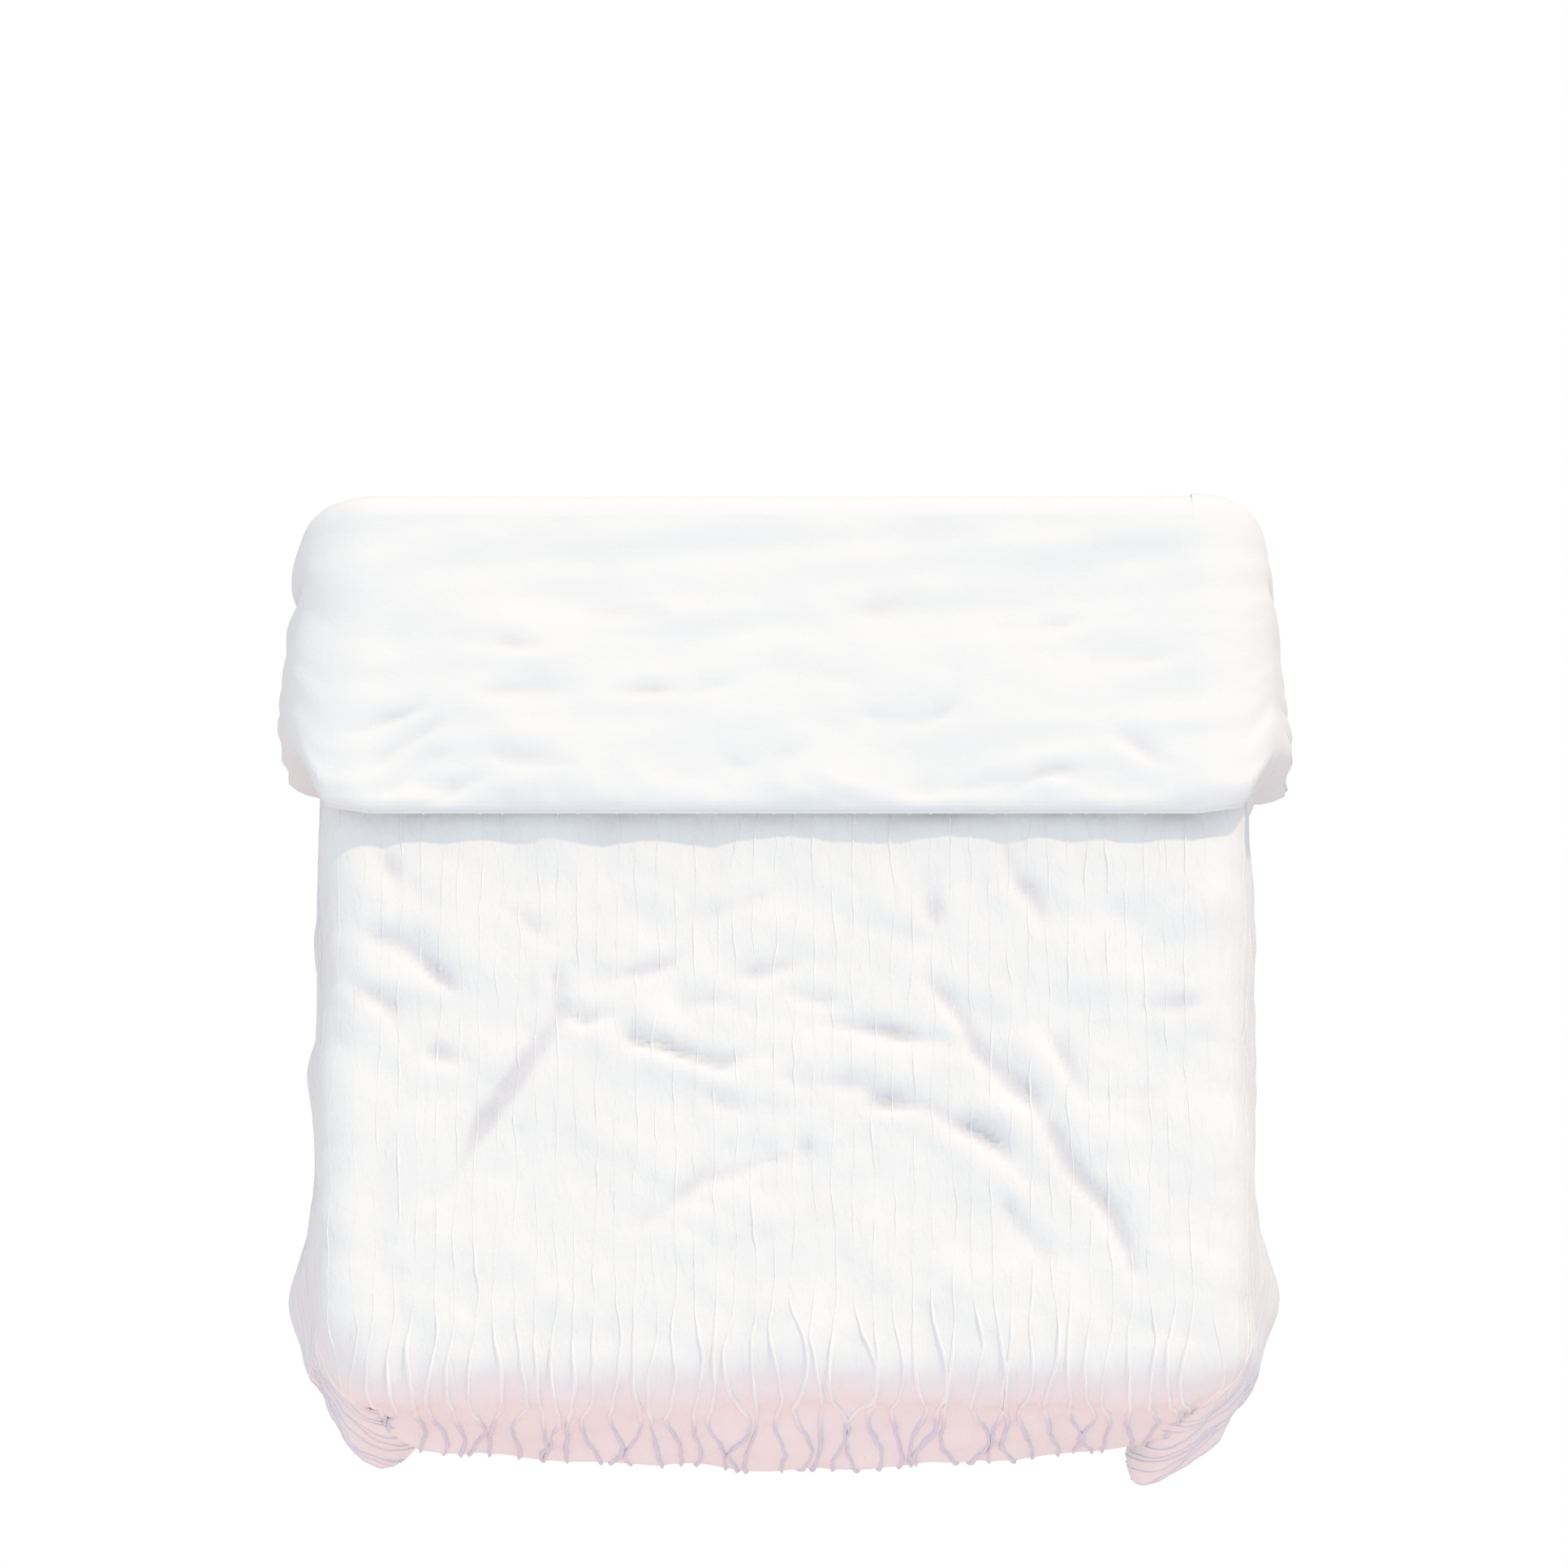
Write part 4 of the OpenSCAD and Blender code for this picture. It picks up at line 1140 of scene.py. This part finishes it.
for zone, one, low, high in zones:
    endLow, endHigh = low <= -topEdgeU + 1e-6, high >= topEdgeU - 1e-6
    fine = upper["flapMesh"] if zone == "flap" else upper["sideMesh"]
    vEnd = rollLen if "Bend" in zone else 0.0
    uLines = gridLines(low, high, fine, endLow, endHigh)
    uRough = gridLines(low + insertIn * endLow, high - insertIn * endHigh, upper["insertMesh"])
    cloth = layFlap(uLines, gridLines(-flapLen, vEnd, fine, True, keep=(0.0,)))
    rough = layFlap(uRough, gridLines(-flapLen + insertIn, vEnd, upper["insertMesh"], keep=(0.0,)))
    under = layFlap(gridLines(low, high, upper["faceMesh"], endLow, endHigh),
                    gridLines(-flapLen, vEnd, upper["faceMesh"], True, keep=(0.0,)))
    top, bottom = side(cloth, 1), side(under, -1)
    reverse = closedPanel(zone + "Reverse", cloth, top, side(cloth, 1, gap), plainCotton)
    face = closedPanel(zone + "Face", under, side(under, -1, gap), bottom, pintuckCotton)
    insert = closedPanel(zone + "Insert", rough, side(rough, 1, slack), side(rough, -1, slack), ticking)
    hem = hemSweep(zone + "Hem", *sewnEdge(cloth, endLow, endHigh))
    inLow, inHigh = low + seam["stitchIn"] * endLow, high - seam["stitchIn"] * endHigh
    inEnd = -flapLen + seam["stitchIn"]
    track = [(t, inEnd) for t in np.linspace(inLow, inHigh, seam["points"])]
    if endLow:
        track = [(inLow, t) for t in np.linspace(0, inEnd, seam["points"])] + track
    if endHigh:
        track += [(inHigh, t) for t in np.linspace(inEnd, 0, seam["points"])]
    stitches = stitchRow(zone + "Stitches", cloth, top, track)
    runs = tuckRuns(under, bottom, -1, low, high, -flapLen, 0.0)
    ridges = sweep(zone + "Tucks", runs + nubRuns(runs, tucks["flapNub"]), tucks["halfWidth"],
                   tucks["height"] * tucks["flapHeight"], 6, ridgeCotton)
    nodes = nodesFor(zone, one)
    for piece, slot in ((reverse, "plain_cotton"), (face, "pintucked_cotton"), (insert, "down_proof_ticking"),
                        (hem, "plain_cotton"), (stitches, "plain_cotton"), (ridges, "pintucked_cotton")):
        place(piece, zone, one, slot, nodes.get(piece.name[len(zone):], []))
    if zone.endswith("Wing"):
        body = zone.replace("Wing", "_wing")
        spot = (one * (topEdgeU - tape["inset"]), tape["wingV"])
        tapesInSeam(zone, cloth, body, [spot], body + "_tie", body + "_loop")
        vRoll = gridLines(0, rollLen, roll["along"])
        turns = [layFlap(lines, vRoll) for lines in (uLines, uRough)]
        roundFold(zone + "Fold", *turns, 0 * turns[0]["u"], body, True, 0 if one < 0 else -1)
    print(zone, "built", len(reverse.data.polygons), len(ridges.data.polygons))

# ---- closure inside the foot hem ----

closure = {"placketDepth": 0.045, "placketIn": 0.02, "mesh": (0.016, 0.005), "fromHem": 0.012,
           "buttons": 9, "diameter": 0.018, "thick": 0.003, "clear": 0.0012, "rowIn": 0.05, "above": 0.0003}


def buttonPart():
    # A shell button: raised rim, dished middle, four holes left as dark wells
    bm = bmesh.new()
    r, h = closure["diameter"] / 2, closure["thick"]
    profile = [(0.0, 0.0), (0.86 * r, 0.0), (r, 0.25 * h), (r, 0.7 * h), (0.92 * r, h), (0.74 * r, 0.98 * h),
               (0.62 * r, 0.62 * h), (0.0, 0.56 * h)]
    rings = [[bm.verts.new((radius * math.cos(a), radius * math.sin(a), z))
              for a in (np.linspace(0, 2 * math.pi, 40, endpoint=False) if radius else [0.0])]
             for radius, z in profile]
    bridge(bm, rings)
    for a in (45, 135, 225, 315):
        cx, cy = 0.26 * r * math.cos(math.radians(a)), 0.26 * r * math.sin(math.radians(a))
        well = [[bm.verts.new((cx + q * math.cos(t), cy + q * math.sin(t), z))
                 for t in np.linspace(0, 2 * math.pi, 12, endpoint=False)]
                for q, z in ((0.0013, 0.57 * h), (0.0011, 0.66 * h), (0.0008, 0.62 * h), (0.0007, 0.45 * h))]
        bridge(bm, well)
        bm.faces.new(well[-1])
        bm.faces.new(well[0][::-1])
    return partFrom("buttonPart", bm)


placketHalf, placketFrom = cornerX - closure["placketIn"], lowEdgeV + closure["fromHem"]
placketCloth = layLower(
    gridLines(-placketHalf, placketHalf, closure["mesh"][0]),
    gridLines(placketFrom, placketFrom + closure["placketDepth"], closure["mesh"][1]))
inside = closure["thick"] + closure["clear"]
placketOut = placketCloth["middle"] - (placketCloth["half"] + inside)[..., None] * placketCloth["normal"]
placketIn = placketOut - gap * placketCloth["normal"]
placket = closedPanel("footPlacket", placketCloth, placketOut, placketIn, plainCotton)
ride(placket, "root", "plain_cotton", "foot_placket")
rowHalf = cornerX - closure["rowIn"]
u = (np.arange(closure["buttons"]) + 0.5) / closure["buttons"] * 2 * rowHalf - rowHalf
v = np.full(u.shape, placketFrom + closure["placketDepth"] / 2)
at = sample(reverseCloth, lowerBottom, u, v)
facing = -unit(sample(reverseCloth, reverseCloth["normal"], u, v))
rowMesh = pointsMesh("buttonRow", at + closure["above"] * facing, facing, np.tile([1.0, 0, 0], (len(u), 1)))
buttons = bake("footButtons", rowMesh, scatterTree, {
    "Part": buttonPart(), "Slant": 0.5, "Seed": 3, "Material": resin})
buttons.data.set_sharp_from_angle(angle=math.radians(35))
ride(buttons, "root", "shell_button", "buttons")
print("closure built")

# ---- label inside the side seam, which stays as it is in the CAD ----

labelObject = frame["nodes"]["care_label"]
labelObject.data.materials.clear()
labelObject.data.materials.append(tapeCotton)

# ---- floor, light and camera ----

stage = {"floorHalf": 30.0, "floorZ": -0.60, "bounce": 0.66, "bounceTone": (1.0, 0.94, 0.92),
         "room": 1.08, "roomTone": (0.815, 0.862, 0.915)}
window = {"energy": 1.14, "angle": math.radians(2.5), "color": (1.0, 0.78, 0.55)}
windowFrom = (0.36, 0.71, 0.60)
lowFill = {"shape": "RECTANGLE", "size": 6.0, "size_y": 0.14, "energy": 38.0, "color": (1.0, 0.13, 0.10)}
lowFillAt, lowFillAim = Vector((-0.3, -4.2, -0.52)), Vector((0, -0.8, -0.1))
view = {"lens": 158.4, "rise": math.radians(72), "distance": 12, "target": (0, 0.247, 0.10)}


def buildStage():
    mesh = bpy.data.meshes.new("floor")
    s, z = stage["floorHalf"], stage["floorZ"]
    mesh.from_pydata([(-s, -s, z), (s, -s, z), (s, s, z), (-s, s, z)], [], [(0, 1, 2, 3)])
    material, tree, _ = newMaterial("paleFloor")
    tree.nodes.remove(tree.nodes["Principled BSDF"])
    glow = [addNode(tree, "ShaderNodeEmission", {"Color": (*tone, 1), "Strength": strength})[0]
            for tone, strength in ((stage["bounceTone"], stage["bounce"]), ((1, 1, 1), 1.0))]
    seen = addNode(tree, "ShaderNodeLightPath")["Is Camera Ray"]
    mix = addNode(tree, "ShaderNodeMixShader", enumerate((seen, *glow)))[0]
    feed(tree, tree.nodes["Material Output"].inputs, {"Surface": mix})
    addPiece("floor", mesh, material)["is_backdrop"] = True
    world = bpy.data.worlds.new("softRoom")
    world.use_nodes = True
    back = world.node_tree.nodes["Background"].inputs
    feed(world.node_tree, back, {"Color": (*stage["roomTone"], 1), "Strength": stage["room"]})
    bpy.context.scene.world = world


def addAimed(name, data, away, at=(0, 0, 0)):
    # A lamp or camera at a point, looking back along the direction that it is away in
    thing = bpy.data.objects.new(name, data)
    thing.location = at
    thing.rotation_euler = away.to_track_quat("Z", "Y").to_euler()
    bpy.context.scene.collection.objects.link(thing)
    return thing


def buildLight(name, kind, settings, away, at=(0, 0, 0)):
    lamp = bpy.data.lights.new(name, kind)
    for key, value in settings.items():
        setattr(lamp, key, value)
    addAimed(name, lamp, away, at)


def buildCamera():
    data = bpy.data.cameras.new("camera")
    data.sensor_width, data.lens, data.clip_end = 36.0, view["lens"], 100
    away = Vector((0, -math.cos(view["rise"]), math.sin(view["rise"])))
    at = Vector(view["target"]) + view["distance"] * away
    bpy.context.scene.camera = addAimed("camera", data, away, at)


buildStage()
buildLight("highWindow", "SUN", window, Vector(windowFrom))
buildLight("lowFill", "AREA", lowFill, lowFillAt - lowFillAim, lowFillAt)
buildCamera()
bpy.context.scene.view_settings.view_transform = "Standard"

low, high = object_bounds()
print("visual box", [round(x, 4) for x in (*low, *high)])
